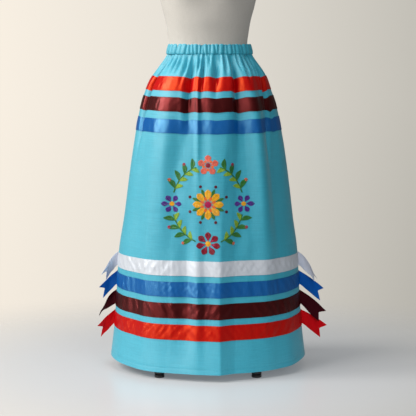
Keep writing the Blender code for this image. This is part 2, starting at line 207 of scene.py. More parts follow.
make_camera()
for soft_box in SOFT_BOXES:
    make_soft_box(*soft_box)
make_backdrop()
make_floor()
bpy.context.scene.view_settings.view_transform = "Standard"

# ---- Stand -----------------------------------------------------------
# Five iron legs in a hub, with a round foot under each, and the pole and collar that
# carry the form. All is stove-enamelled black, and every edge is eased.

# Points closer together than this are one point.
WELD = 1e-6
# How far each piece's edges are eased.
STAND_NODES = {
    "stand_hub": 0.0020,
    "stand_pole": 0.0010,
    "stand_collar": 0.0012,
    **{f"stand_leg_{i}": 0.0025 for i in range(1, 6)},
    **{f"stand_foot_{i}": 0.0015 for i in range(1, 6)},
}


def noise(tree, place, scale, detail):
    return node(tree, "ShaderNodeTexNoise", Vector=place, Scale=scale, Detail=detail).outputs["Fac"]


def bumps(tree, height, strength, distance, **under):
    """Normals for a height. Other bumps go under them by the name Normal."""
    return node(
        tree, "ShaderNodeBump", Height=height, Strength=strength, Distance=distance, **under
    ).outputs[0]


def black_enamel():
    made, tree, shader = new_material("black_enamel", (0.012, 0.012, 0.013), 0.38)
    place = node(tree, "ShaderNodeTexCoord").outputs["Object"]
    cloud = noise(tree, place, 35.0, 4.0)
    rough = ranged(tree, cloud, To_Min=0.28, To_Max=0.52)
    grain = noise(tree, place, 900.0, 3.0)
    feed(tree, shader, Roughness=rough, Normal=bumps(tree, grain, 0.25, 0.0003))
    return made


def eased_copy(name, edge, finish, smooth_under=35):
    """A copy of a CAD node, merged and with its edges rounded, that stands in for it."""
    mesh = bpy.data.meshes.new(f"{name}_eased")
    with mending(mesh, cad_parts[name].data) as bm:
        bmesh.ops.remove_doubles(bm, verts=bm.verts, dist=WELD)
        flat = math.radians(1)
        bmesh.ops.dissolve_limit(bm, angle_limit=flat, verts=bm.verts, edges=bm.edges)
    mesh.shade_smooth()
    mesh.set_sharp_from_angle(angle=math.radians(smooth_under))
    made = new_object(f"{name}_eased", mesh, finish)
    bevel = made.modifiers.new("edges", "BEVEL")
    bevel.width = edge
    bevel.segments = 3
    bevel.limit_method = "ANGLE"
    bevel.angle_limit = math.radians(smooth_under)
    bevel.harden_normals = True
    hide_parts(name)
    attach(made, "root")


enamel = black_enamel()
for stand_node, stand_edge in STAND_NODES.items():
    eased_copy(stand_node, stand_edge, enamel)

# ---- Dress form ------------------------------------------------------
# A padded torso without limbs, pinned tight in undyed linen. The cover is cut in panels,
# with seams at the middle of the front and back, over the bust and down the sides.

# The pole stands this far to the left of the middle of the whole object.
POLE_X = -0.013
# height, half width, front depth, back depth
FORM_SECTIONS = (
    (0.600, 0.1540, 0.0960, 0.1120),
    (0.606, 0.1580, 0.0985, 0.1150),
    (0.650, 0.1650, 0.1030, 0.1230),
    (0.700, 0.1670, 0.1050, 0.1260),
    (0.750, 0.1620, 0.1045, 0.1200),
    (0.800, 0.1490, 0.1000, 0.1080),
    (0.840, 0.1320, 0.0930, 0.0970),
    (0.870, 0.1185, 0.0870, 0.0890),
    (0.895, 0.1120, 0.0840, 0.0840),
    (0.926, 0.1120, 0.0845, 0.0835),
    (0.960, 0.1160, 0.0880, 0.0840),
    (0.993, 0.1215, 0.0945, 0.0860),
    (1.030, 0.1315, 0.0980, 0.0890),
    (1.070, 0.1405, 0.1020, 0.0920),
    (1.105, 0.1465, 0.1050, 0.0935),
    (1.140, 0.1530, 0.1040, 0.0950),
    (1.180, 0.1640, 0.0980, 0.0960),
    (1.220, 0.1720, 0.0880, 0.0930),
    (1.250, 0.1730, 0.0770, 0.0860),
    (1.268, 0.1660, 0.0690, 0.0790),
    (1.284, 0.1440, 0.0610, 0.0700),
    (1.300, 0.1080, 0.0550, 0.0620),
    (1.314, 0.0760, 0.0515, 0.0570),
    (1.330, 0.0590, 0.0495, 0.0530),
    (1.352, 0.0545, 0.0480, 0.0500),
    (1.378, 0.0530, 0.0470, 0.0480),
)
BUST_HEIGHT, BUST_REACH = 1.105, 0.056
BUST_ANGLE, BUST_SPREAD, BUST_RISE = 30, 20, 0.022
ARMHOLE_PLANE = 0.153
FORM_COLUMNS, FORM_ROWS = 128, 130
# The lower edge turns in over this height.
FORM_EDGE = 0.006
# Edges over this many degrees stay sharp on the form.
FORM_SHARP = 50
# Seams, as degrees round from the middle of the front.
FORM_SEAMS = (0, 34, 90, 146, 180, 214, 270, 326)


def eased(share):
    """A share from 0 to 1 that starts and stops gently."""
    return share * share * (3 - 2 * share)


def between_rows(at, places, values, slopes):
    """A curve with its own slope at each row of a table."""
    i = np.clip(np.searchsorted(places, at) - 1, 0, len(places) - 2)
    gap = places[i + 1] - places[i]
    t = (at - places[i]) / gap
    start = (1 + 2 * t) * (1 - t) ** 2 * values[i] + t * (1 - t) ** 2 * gap * slopes[i]
    end = eased(t) * values[i + 1] - t * t * (1 - t) * gap * slopes[i + 1]
    return start + end


def smooth_table(at, places, values):
    """Read a table with a smooth curve through its rows that never overshoots them."""
    places, values = np.asarray(places, float), np.asarray(values, float)
    step = np.diff(places)
    slope = np.diff(values) / step
    inner = np.where(
        slope[:-1] * slope[1:] > 0,
        2 * slope[:-1] * slope[1:] / (slope[:-1] + slope[1:] + 1e-12),
        0.0,
    )
    tangent = np.concatenate(([slope[0]], inner, [slope[-1]]))
    at = np.clip(at, places[0], places[-1])
    return between_rows(at, places, values, tangent)


def read_sections(sections, height):
    """Each measure of a table of sections at a height."""
    heights, *measures = zip(*sections)
    return [smooth_table(height, heights, measure) for measure in measures]


def form_surface(angle, height, out=0.0):
    """Points of the dress form's surface, moved out from it."""
    half_width, front, back = read_sections(FORM_SECTIONS, height)
    turn = np.radians(angle)
    forward = np.cos(turn)
    front_share = 0.5 + 0.5 * np.tanh(forward * 6)
    depth = back + (front - back) * front_share
    away = np.degrees(np.arcsin(np.clip(np.sin(turn), -1, 1)))
    bust = BUST_RISE * np.exp(-(((height - BUST_HEIGHT) / BUST_REACH) ** 2))
    depth = depth + np.where(
        forward > 0, bust * np.exp(-(((np.abs(away) - BUST_ANGLE) / BUST_SPREAD) ** 2)), 0.0
    )
    across = np.clip((half_width + out) * np.sin(turn), -ARMHOLE_PLANE, ARMHOLE_PLANE)
    return np.stack((POLE_X + across, -(depth + out) * forward, height + 0 * forward), axis=-1)


def mapped_mesh(name, points, faces, flat):
    """A smooth mesh, given the place of each corner on its map in metres."""
    mesh = bpy.data.meshes.new(name)
    mesh.from_pydata(points.reshape(-1, 3).tolist(), [], faces.tolist())
    layer = mesh.uv_layers.new(name="cloth")
    layer.data.foreach_set("uv", flat.reshape(-1).astype(np.float32))
    mesh.shade_smooth()
    return mesh


def tube_mesh(name, grid, uv):
    """A tube of four-sided faces through a grid of points [row][column]."""
    rows, columns = grid.shape[:2]
    index = np.arange(rows * columns).reshape(rows, columns)
    after = np.roll(index, -1, axis=1)
    quads = np.stack((index[:-1], index[1:], after[1:], after[:-1]), axis=-1).reshape(-1, 4)
    flat = uv.reshape(-1, 2)[quads]
    # The last column's faces carry on past the map's edge instead of running back over it.
    width = uv[0, 1, 0] - uv[0, 0, 0]
    last = (quads % columns == 0) & ((quads[:, :1] % columns) == columns - 1)
    flat[..., 0] = np.where(last, flat[..., 0] + width * columns, flat[..., 0])
    return mapped_mesh(name, grid, quads, flat)


def cloth_map(tree):
    return node(tree, "ShaderNodeUVMap", {"uv_map": "cloth"}).outputs[0]


def plain_weave(tree, place, pitch):
    """Height of a plain weave: threads that pass over and under each other, by their pitch."""
    split = node(tree, "ShaderNodeSeparateXYZ", _0=place)
    warp, weft = (
        maths(tree, "ABSOLUTE", maths(tree, "SINE", times(tree, split.outputs[i], math.pi / pitch)))
        for i in (0, 1)
    )
    over = node(tree, "ShaderNodeTexChecker", Vector=place, Scale=1 / pitch).outputs["Fac"]
    return node(
        tree, "ShaderNodeMix", {"data_type": "FLOAT"}, _0=over, _2=warp, _3=weft
    ).outputs[0]


def stretched_noise(tree, place, across, along, detail=2.0):
    """Noise that is drawn out along the threads, by its scale each way."""
    drawn = node(tree, "ShaderNodeMapping", Vector=place, Scale=(across, along, 1.0)).outputs[0]
    return noise(tree, drawn, 1.0, detail)


def linen_cover():
    made, tree, shader = new_material(
        "linen_cover", (0.60, 0.575, 0.52), 0.9, Sheen_Weight=0.25, Sheen_Roughness=0.5
    )
    place = cloth_map(tree)
    across = node(tree, "ShaderNodeSeparateXYZ", _0=place).outputs["X"]
    slub_up = stretched_noise(tree, place, 900.0, 60.0)
    slub_across = stretched_noise(tree, place, 60.0, 900.0)
    threads = weighted(tree, slub_up, 0.5, slub_across)
    # Each seam is a thin line, darker than the cloth and sunk into it.
    lines = maths(tree, "FRACT", maths(tree, "DIVIDE", across, SEAM_SPACING))
    beside = maths(tree, "ABSOLUTE", minus(tree, lines, 0.5))
    seam = ranged(tree, beside, From_Min=0.4975, From_Max=0.4995)
    light = blend_colours(tree, threads, (0.43, 0.41, 0.372, 1), (0.61, 0.586, 0.543, 1))
    colour = blend_colours(tree, times(tree, seam, 0.30), light, (0.22, 0.20, 0.17, 1))
    weave = plain_weave(tree, place, 0.0008)
    height = minus(tree, plus(tree, weave, threads), times(tree, seam, 4.0))
    feed(tree, shader, Base_Color=colour, Normal=bumps(tree, height, 0.5, 0.0003))
    return made


# The UV map counts a metre to each metre of a torso that is 0.9 m round, so eight seams
# fall at even spaces.
FORM_ROUND = 0.9
SEAM_SPACING = FORM_ROUND / 8


def make_torso():
    low, high = FORM_SECTIONS[0][0], FORM_SECTIONS[-1][0]
    # Seams are evenly spaced on the map and lie at their own angles on the torso.
    share = np.arange(FORM_COLUMNS) / FORM_COLUMNS
    angle = smooth_table(share, np.arange(9) / 8, [*FORM_SEAMS, 360])
    heights = np.concatenate((
        low + FORM_EDGE * (1 - np.cos(np.linspace(0, math.pi / 2, 5)[:-1])),
        np.linspace(low + FORM_EDGE, high, FORM_ROWS),
    ))
    angles, levels = np.meshgrid(angle, heights)
    grid = form_surface(angles, levels)
    mapped = np.stack(np.meshgrid(share * FORM_ROUND, heights), axis=-1)
    mesh = tube_mesh("dress_form_torso", grid[::-1], mapped[::-1])
    with mending(mesh) as bm:
        bmesh.ops.holes_fill(bm, edges=[e for e in bm.edges if e.is_boundary])
        bmesh.ops.recalc_face_normals(bm, faces=bm.faces)
    mesh.shade_smooth()
    mesh.set_sharp_from_angle(angle=math.radians(FORM_SHARP))
    torso = new_object("dress_form_torso", mesh, linen_cover())
    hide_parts("form_torso")
    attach(torso, "root")


make_torso()

# ---- Neck cap and armhole plates -------------------------------------
# Turned and pressed metal covers that close the neck and the two armholes, in the same
# enamel as the stand.

for cover_node in ("form_neck_cap", "form_armhole_plate_left", "form_armhole_plate_right"):
    eased_copy(cover_node, 0.0012, enamel, 30)

# ---- Skirt panels ----------------------------------------------------
# Front and back are A-line widths of plain-woven turquoise cotton, joined at the side
# seams. The waist edge is gathered, and the hem is turned up and stitched.

HEM_HEIGHT, HEM_TURNING, WAIST_SEAM = 0.020, 0.0135, 0.8980
# The waist sits this far to one side. The sway starts at a height and comes in over a length.
WAIST_SWAY, SWAY_FROM, SWAY_OVER = 0.0045, 0.79, 0.075
PANEL_LENGTH = 0.93
CLOTH, HEM_CLOTH = 0.0009, 0.0022
# height, half width, front depth, back depth, front dip, lift of the side seams
SKIRT_SECTIONS = (
    (0.0200, 0.2824, 0.2450, 0.2520, 0.0000, 0.0125),
    (0.1095, 0.2720, 0.2230, 0.2320, 0.0000, 0.0100),
    (0.2265, 0.2640, 0.2010, 0.2110, 0.0000, 0.0085),
    (0.3270, 0.2580, 0.1880, 0.1990, 0.0000, 0.0035),
    (0.4400, 0.2410, 0.1790, 0.1900, 0.0010, 0.0000),
    (0.5700, 0.2240, 0.1690, 0.1790, 0.0030, 0.0000),
    (0.6795, 0.2070, 0.1590, 0.1670, 0.0050, 0.0000),
    (0.7180, 0.2000, 0.1540, 0.1620, 0.0050, 0.0000),
    (0.7380, 0.1960, 0.1510, 0.1590, 0.0050, 0.0000),
    (0.7765, 0.1855, 0.1440, 0.1510, 0.0040, 0.0000),
    (0.7950, 0.1790, 0.1400, 0.1460, 0.0030, 0.0000),
    (0.8335, 0.1635, 0.1290, 0.1320, 0.0010, 0.0000),
    (0.8640, 0.1440, 0.1160, 0.1170, 0.0000, 0.0000),
    (0.8870, 0.1280, 0.1020, 0.1030, 0.0000, 0.0000),
    (0.8980, 0.1218, 0.0965, 0.0960, 0.0000, 0.0000),
)
# angle at the waist, angle at the hem, half width, depth, reach below the waist seam
GATHERS = (
    (-84, -82, 6, 0.005, 0.09),
    (-75, -76, 5, 0.006, 0.08),
    (-67, -71, 7.5, 0.014, 0.34),
    (-57, -48, 4.5, 0.007, 0.06),
    (-48, -30, 4.5, 0.008, 0.07),
    (-40, -25, 4.5, 0.009, 0.07),
    (-30.5, -17, 5, 0.010, 0.09),
    (-22, -11, 7, 0.015, 0.24),
    (-13.5, -7, 3.5, 0.011, 0.06),
    (-7.5, -4.5, 4, 0.011, 0.16),
    (0, -1, 3, 0.006, 0.045),
    (8.5, 3, 7.5, 0.019, 0.13),
    (14, 5.5, 3, 0.006, 0.045),
    (20, 9, 4.5, 0.012, 0.07),
    (30, 20, 7, 0.016, 0.26),
    (38, 24, 4, 0.007, 0.06),
    (46, 28, 4.5, 0.013, 0.09),
    (57, 33, 4.5, 0.012, 0.08),
    (65, 37, 4.5, 0.012, 0.09),
    (74, 41, 6, 0.018, 0.34),
    (83, 66, 7, 0.005, 0.09),
    (98, 103, 8, 0.006, 0.10),
    (108, 119, 10, 0.014, 0.26),
    (121, 130, 9, 0.008, 0.10),
    (132, 139, 8, 0.009, 0.12),
    (144, 148, 8, 0.007, 0.09),
    (154, 158, 9, 0.013, 0.20),
    (161, 163, 6, 0.005, 0.06),
    (168, 168, 7, 0.008, 0.11),
    (178, 176, 8, 0.009, 0.10),
    (190, 185, 9, 0.013, 0.18),
    (197, 191, 6, 0.005, 0.06),
    (203, 195, 7, 0.008, 0.10),
    (213, 205, 8, 0.007, 0.11),
    (225, 216, 9, 0.012, 0.16),
    (237, 228, 9, 0.007, 0.10),
    (250, 241, 10, 0.014, 0.28),
    (262, 257, 8, 0.006, 0.10),
)
# Long folds, which rise gently on one side and fall away faster on the other. A negative
# rise is a valley. All angles and widths are in degrees.
# angle at the waist, at the hem, width before and after, rise at FOLD_HEIGHTS
FOLD_HEIGHTS = (0.02, 0.20, 0.34, 0.48, 0.64, 0.76, 0.87)
FOLDS = (
    (-58, -50, 18, 11, (-0.002, -0.006, -0.001, 0, 0, 0, 0)),
    (-39, -33, 25, 13, (0.005, 0.006, 0.009, 0.014, 0.013, 0.008, 0)),
    (-8, -30, 12, 12, (0, 0, -0.002, -0.0035, -0.003, 0, 0)),
    (-14.5, -10.3, 11, 5, (0, 0, 0, 0, -0.007, -0.009, 0)),
    (-25, -13, 10, 7, (-0.001, -0.012, -0.010, -0.001, 0, 0, 0)),
    (-5.5, -3.2, 5, 8, (0, 0, 0, -0.0005, -0.0045, -0.0050, -0.002)),
    (-2.5, -1.5, 5, 10, (-0.001, -0.007, -0.005, 0, 0, 0, 0)),
    (24, 6.6, 32, 9, (0.018, 0.017, 0.014, 0.011, 0.009, 0.006, 0.001)),
    (33, 20, 8, 8, (0, -0.001, -0.002, -0.004, -0.005, -0.003, 0)),
    (41, 38.5, 11, 14, (0.001, 0.004, 0.013, 0.023, 0.024, 0.021, 0.003)),
    (70, 55, 12, 14, (0.004, 0.003, 0.001, -0.003, -0.004, -0.002, 0)),
    (90, 90, 26, 26, (0, 0, 0.001, 0.004, 0.005, 0.003, 0)),
    (118, 128, 20, 12, (0.006, 0.007, 0.008, 0.010, 0.010, 0.005, 0)),
    (140, 147, 12, 14, (-0.002, -0.004, -0.006, -0.006, -0.006, -0.003, 0)),
    (160, 166, 18, 10, (0.012, 0.010, 0.009, 0.009, 0.010, 0.005, 0)),
    (196, 190, 14, 14, (-0.003, -0.004, -0.005, -0.005, -0.006, -0.003, 0)),
    (219, 211, 20, 12, (0.010, 0.009, 0.009, 0.010, 0.010, 0.005, 0)),
    (243, 232, 14, 14, (-0.002, -0.003, -0.004, -0.005, -0.005, -0.002, 0)),
)
# How rounded the tops of the pressed folds are at FOLD_HEIGHTS, by their angle at the waist.
PRESSED_FOLDS = {
    24: (0.4, 0.4, 0.6, 1.6, 2.0, 2.5, 2.0),
    160: (0.8, 1.0, 1.5, 2.5, 3.0, 3.0, 3.0),
}
# Soft creases in the cloth, each a straight line between two places, measured on a skirt
# of this radius.
CREASE_RADIUS = 0.20
# angle, height, angle, height, half width in metres, rise
CREASES = (
    (22, 0.50, 11, 0.36, 0.016, 0.0022),
    (26, 0.47, 16, 0.33, 0.012, -0.0016),
    (33, 0.42, 20, 0.31, 0.014, 0.0016),
    (17, 0.55, 9, 0.47, 0.010, -0.0012),
    (14, 0.66, 20, 0.56, 0.012, -0.0018),
    (-21, 0.72, -20, 0.58, 0.016, -0.0030),
    (-14, 0.69, -12, 0.60, 0.014, 0.0016),
    (-38, 0.60, -34, 0.40, 0.018, -0.0018),
    (4, 0.62, 2, 0.48, 0.020, 0.0016),
    (-8, 0.42, -3, 0.30, 0.016, -0.0010),
    (-25, 0.36, -18, 0.22, 0.018, 0.0012),
    (-12, 0.10, -5, 0.03, 0.016, 0.0010),
    (-20, 0.11, -15, 0.04, 0.014, -0.0010),
    (28, 0.12, 22, 0.03, 0.018, 0.0010),
    (150, 0.62, 154, 0.44, 0.018, -0.0024),
    (172, 0.58, 168, 0.40, 0.020, 0.0022),
    (184, 0.66, 187, 0.50, 0.014, -0.0020),
    (205, 0.54, 199, 0.38, 0.018, 0.0022),
    (228, 0.60, 224, 0.42, 0.018, -0.0022),
    (136, 0.50, 140, 0.34, 0.018, 0.0020),
    (163, 0.12, 169, 0.04, 0.016, 0.0012),
    (212, 0.12, 206, 0.04, 0.016, -0.0012),
)
# Small ruffles that the elastic draws in, as angles round the waist.
RUFFLES = (
    -84, -73, -62, -51.9, -42.4, -33.7, -27, -21.9, -16, -11.7, -7.8, -2.4, 1.5, 8, 12.2, 20.1,
    25.5, 32.7, 38, 45.3, 51.2, 61.8, 73.2, 84, 95, 104, 110, 118, 125, 131, 139, 146, 151, 158,
    164, 168, 175, 181, 186, 193, 198, 205, 213, 218, 226, 232, 240, 247, 254, 265,
)
RUFFLE_DEPTH, RUFFLE_REACH = 0.0046, 0.022
# All gathers are deepened by this. They are part open at the waist seam and open over a length.
GATHER_SCALE, GATHER_OPEN, GATHER_OPENS_OVER = 2.2, 0.45, 0.016
# The most that a gather may sink, at the waist seam and this far below it.
CLEAR_OF_FORM, CLEAR_BELOW = (0.0066, 0.034), 0.06
# The cloth hangs lower in a groove, by this share of its depth past a level depth. The drop
# comes in over this far below the waist seam.
HANG_SHARE, HANG_LEVEL, HANG_START = 0.26, 0.005, 0.045
# It is gone at this height, and fades out over this length above it.
HANG_FADE_TO, HANG_FADE_OVER = 0.60, 0.20
# side, first angle, last angle, columns of points
PANELS = (("front", -90, 90, 272), ("back", 90, 270, 190))
# Rows of points lie closest where the cloth turns: from, to, rows
PANEL_ROWS = (
    (WAIST_SEAM, 0.800, 44),
    (0.800, 0.660, 36),
    (0.660, 0.330, 40),
    (0.330, 0.100, 32),
    (0.100, 0.046, 7),
    (0.046, HEM_HEIGHT, 11),
)
# A side seam draws the cloth in this deep and this far to each side, on a skirt of this radius.
SEAM_SINK, SEAM_REACH, SEAM_RADIUS = 0.0012, 0.0035, 0.24
# The row of stitches round the hem does the same.
HEM_SINK, HEM_REACH = 0.0006, 0.0016
# Edges over this many degrees stay sharp on cloth.
CLOTH_SHARP = 70


def unit(vectors):
    return vectors / np.linalg.norm(vectors, axis=-1, keepdims=True)


def drifted(at_waist, at_hem, height):
    """The angle, at a height, of a line that runs from one angle at the waist to another at the hem."""
    down = np.clip((WAIST_SEAM - height) / (WAIST_SEAM - HEM_HEIGHT), 0, 1)
    return at_waist + (at_hem - at_waist) * (1 - (1 - down) ** 3)


def ruffle_wave(angle):
    """Depth from 0 to 1 of the small ruffles at an angle, full in each groove."""
    spots = np.array([RUFFLES[-1] - 360, *RUFFLES, RUFFLES[0] + 360])
    turn = (np.asarray(angle) + 90) % 360 - 90
    i = np.clip(np.searchsorted(spots, turn) - 1, 0, len(spots) - 2)
    share = (turn - spots[i]) / (spots[i + 1] - spots[i])
    return np.abs(np.cos(math.pi * share)) ** 1.6


def gathered_in(angle, height, sharpness=2.4):
    """How far the gathers draw the cloth in at an angle and height."""
    below = WAIST_SEAM - height
    total = np.zeros(np.broadcast(angle, height).shape)
    for at_waist, at_hem, half_width, depth, reach in GATHERS:
        away = (angle - drifted(at_waist, at_hem, height)) / half_width
        opening = np.clip(GATHER_OPEN + (1 - GATHER_OPEN) * below / GATHER_OPENS_OVER, 0, 1)
        fading = np.clip(1 - below / reach, 0, 1)
        groove = np.clip(1 - np.sqrt(away * away + 0.006), 0, 1) ** sharpness
        total += depth * GATHER_SCALE * opening * eased(fading) * groove
    return total


def cloth_rise(angle, height):
    """How far folds, gathers, creases and ruffles move the cloth out at an angle and height."""
    total = np.zeros_like(angle)
    for at_waist, at_hem, before, after, rises in FOLDS:
        away = angle - drifted(at_waist, at_hem, height)
        rise = np.interp(height, FOLD_HEIGHTS, rises)
        width = np.where(away < 0, before, after)
        if at_waist in PRESSED_FOLDS:
            soft = np.interp(height, FOLD_HEIGHTS, PRESSED_FOLDS[at_waist])
            fallen = (np.sqrt(away * away + soft * soft) - soft) / width
            shape = np.clip(1 - fallen, 0, 1) ** 1.4
        else:
            shape = 0.5 + 0.5 * np.cos(math.pi * np.clip(np.abs(away) / width, 0, 1))
        total += rise * shape
    below = np.clip(WAIST_SEAM - height, 0, 1)
    pulled = gathered_in(angle, height)
    pulled += RUFFLE_DEPTH * ruffle_wave(angle) * np.exp(-below / RUFFLE_REACH)
    least, most = CLEAR_OF_FORM
    room = least + (most - least) * np.clip(below / CLEAR_BELOW, 0, 1) ** 1.4
    total -= room * np.tanh(pulled / room)
    for angle_1, height_1, angle_2, height_2, half_width, rise in CREASES:
        along = np.array((math.radians(angle_2 - angle_1) * CREASE_RADIUS, height_2 - height_1))
        length = np.linalg.norm(along)
        along /= length
        across = np.radians(angle - angle_1) * CREASE_RADIUS
        up = height - height_1
        share = (across * along[0] + up * along[1]) / length
        side = (across * along[1] - up * along[0]) / half_width
        ends = np.clip(share * (1 - share) * 4, 0, 1)
        total += rise * ends * np.exp(-side * side)
    return total


def sway(height):
    up = np.clip((height - SWAY_FROM) / SWAY_OVER, 0, 1)
    return WAIST_SWAY * eased(up)


def hang_low(angle, height):
    """The cloth hangs lower in a groove than on the full gathers beside it."""
    begun = np.clip((WAIST_SEAM - height) / HANG_START, 0, 1)
    fading = np.clip((height - HANG_FADE_TO) / HANG_FADE_OVER, 0, 1)
    deep = gathered_in(angle, np.maximum(height, 0.815), 1.2)
    return (deep - HANG_LEVEL) * HANG_SHARE * begun * eased(fading)


def cloth(angle, height, out=0.0):
    """Points on the skirt's outer face, moved out from it."""
    angle, height = np.broadcast_arrays(np.asarray(angle, float), np.asarray(height, float))
    half_width, front, back, dip, lift = read_sections(SKIRT_SECTIONS, height)
    turn = np.radians(angle)
    across, forward = np.sin(turn), np.cos(turn)
    depth = np.where(forward > 0, front, back)
    facing = unit(np.stack((depth * across, -half_width * forward), axis=-1))
    rise = cloth_rise(angle, height) + out
    hangs = dip * np.clip(forward, 0, 1) ** 2 + hang_low(angle, height)
    return np.stack(
        (
            POLE_X + half_width * across + facing[..., 0] * rise + sway(height),
            -depth * forward + facing[..., 1] * rise,
            height + lift * np.abs(across) ** 6 - hangs,
        ),
        axis=-1,
    )


def grid_normals(grid):
    """Outward normals of a grid whose rows run down and whose columns run round."""
    down, along = np.gradient(grid, axis=0), np.gradient(grid, axis=1)
    normals = np.cross(down, along)
    return normals / np.maximum(np.linalg.norm(normals, axis=-1, keepdims=True), 1e-12)


def panel_angles(first, last, count, heights):
    """The angle of each grid point. Columns drift as the gathers do, so they follow the cloth."""
    knots = [(first, first), *((g[0], g[1]) for g in GATHERS if first < g[0] < last), (last, last)]
    share = [((w - first) + (h - first)) / 2 / (last - first) for w, h in knots]
    at = np.linspace(0, 1, count)
    at_waist = smooth_table(at, share, [w for w, h in knots])
    at_hem = smooth_table(at, share, [h for w, h in knots])
    return drifted(at_waist[None, :], at_hem[None, :], heights[:, None])


def cloth_wall(name, outer, thickness, uv, *materials):
    """A closed cloth wall: an outer face, an inner face the cloth's thickness behind it, and edges."""
    inner = outer - grid_normals(outer) * np.asarray(thickness).reshape(-1, 1, 1)
    rows, columns = outer.shape[:2]
    count = rows * columns
    index = np.arange(count).reshape(rows, columns)

    def quads(a, b, c, d):
        return np.stack((a, b, c, d), axis=-1).reshape(-1, 4)

    face = quads(index[:-1, :-1], index[1:, :-1], index[1:, 1:], index[:-1, 1:])
    lining = face[:, ::-1] + count
    edges = [
        quads(index[0, :-1], index[0, 1:], index[0, 1:] + count, index[0, :-1] + count),
        quads(index[-1, 1:], index[-1, :-1], index[-1, :-1] + count, index[-1, 1:] + count),
        quads(index[1:, 0], index[:-1, 0], index[:-1, 0] + count, index[1:, 0] + count),
        quads(index[:-1, -1], index[1:, -1], index[1:, -1] + count, index[:-1, -1] + count),
    ]
    faces = np.concatenate((face, lining, *edges))
    flat = np.tile(uv.reshape(-1, 2), (2, 1))[faces]
    mesh = mapped_mesh(name, np.concatenate((outer, inner)), faces, flat)
    mesh.set_sharp_from_angle(angle=math.radians(CLOTH_SHARP))
    return new_object(name, mesh, *materials)


def turquoise_cotton():
    made, tree, shader = new_material(
        "turquoise_cotton", (0.036, 0.40, 0.55), 0.57, Specular_IOR_Level=1.0,
        Specular_Tint=(1.0, 0.90, 0.80, 1.0), Sheen_Weight=0.15, Sheen_Roughness=0.4,
        Sheen_Tint=(1.0, 0.92, 0.75, 1.0),
    )
    place = cloth_map(tree)
    warp = stretched_noise(tree, place, 900.0, 16.0)
    weft = stretched_noise(tree, place, 14.0, 620.0)
    threads = ranged(tree, weighted(tree, warp, 0.35, weft), From_Min=0.3, From_Max=0.7)
    colour = blend_colours(tree, threads, (0.018, 0.300, 0.425, 1), (0.038, 0.405, 0.545, 1))
    washed = noise(tree, place, 9.0, 5.0)
    paler = times(tree, minus(tree, washed, 0.42), 0.5)
    colour = blend_colours(tree, paler, colour, (0.08, 0.43, 0.55, 1))
    ridges = plus(tree, times(tree, weft, 2.0), plain_weave(tree, place, 0.0006))
    fine = bumps(tree, ridges, 0.5, 0.00015)
    crinkle = noise(tree, place, 38.0, 5.0)
    feed(tree, shader, Base_Color=colour, Normal=bumps(tree, crinkle, 0.45, 0.0022, Normal=fine))
    return made


def sewn_in(grid, angles, first, last):
    """Sink the cloth a little where it turns into a side seam, and end it at the seam."""
    for edge, column in ((first, 0), (last, -1)):
        away = np.radians(np.abs(angles - edge)) * SEAM_RADIUS
        sink = SEAM_SINK * np.exp(-((away / SEAM_REACH) ** 2))
        side = 1 if abs(edge % 360 - 90) < 1 else -1
        grid[..., 0] -= side * sink
        grid[:, column, 1] = 0.0
    return grid


cotton = turquoise_cotton()
# The width that each panel is cut to at the waist and at the hem.
waist_cut, hem_cut = 0.62, 0.87
stretches = [np.linspace(*stretch, endpoint=False) for stretch in PANEL_ROWS]
panel_rows = np.concatenate((*stretches, [HEM_HEIGHT]))
cut_down = (WAIST_SEAM - panel_rows) / (WAIST_SEAM - HEM_HEIGHT) * PANEL_LENGTH
cut_width = np.interp(panel_rows, (HEM_HEIGHT, WAIST_SEAM), (hem_cut, waist_cut))
for side, first, last, column_count in PANELS:
    angles = panel_angles(first, last, column_count, panel_rows)
    outer = sewn_in(cloth(angles, panel_rows[:, None]), angles, first, last)
    stitched = np.exp(-(((panel_rows - HEM_HEIGHT - HEM_TURNING) / HEM_REACH) ** 2))
    outer -= grid_normals(outer) * (HEM_SINK * stitched)[:, None, None]
    across = np.linspace(-0.5, 0.5, column_count)[None, :] * cut_width[:, None]
    uv = np.stack((across, np.broadcast_to(-cut_down[:, None], across.shape)), axis=-1)
    thickness = np.where(panel_rows <= HEM_HEIGHT + HEM_TURNING, HEM_CLOTH, CLOTH)
    panel = cloth_wall(f"skirt_{side}_cloth", outer, thickness, uv, cotton)
    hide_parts(f"skirt_{side}")
    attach(panel, "root")

# ---- Waistband -------------------------------------------------------
# A tube of the same cotton, folded over wide elastic that draws it into small ruffles.
# Its lower edge is sewn to the gathered top of the skirt.

BAND_LOW, BAND_HIGH = 0.8970, 0.9268
BAND_ROUND, BAND_COLUMNS = 1.06, 760
# The casing's seam stands this deep, over this share of the band's height.
CASING_SEAM, CASING_SEAM_REACH = 0.0011, 0.035
# share of the way up the outer face, over the top and down inside; distance from the form
BAND_OUTSIDE = (
    (-0.02, 0.0078), (0.00, 0.0102), (0.04, 0.0116), (0.16, 0.0126), (0.35, 0.0120), (0.60, 0.0104),
    (0.82, 0.0084), (0.94, 0.0068), (0.99, 0.0052),
)
BAND_INSIDE = ((1.00, 0.0034), (0.97, 0.0018), (0.90, 0.0009), (0.50, 0.0008), (-0.02, 0.0010))


def band_ruffles(angle, share):
    """Depth of the ruffles round the band, each with its own depth, width and lean."""
    chance = np.random.default_rng(7)
    total = np.zeros(np.broadcast(angle, share).shape)
    for spot in RUFFLES:
        depth = chance.uniform(0.0046, 0.0080)
        wide = chance.uniform(1.5, 2.5)
        lean = chance.uniform(-2.2, 2.2)
        low_end, high_end = chance.uniform(0.55, 1.0, 2)
        away = (angle - spot - lean * (share - 0.4) + 180) % 360 - 180
        along = low_end + (high_end - low_end) * share
        total += depth * along / (1 + (away / wide) ** 2) ** 1.5
    return total


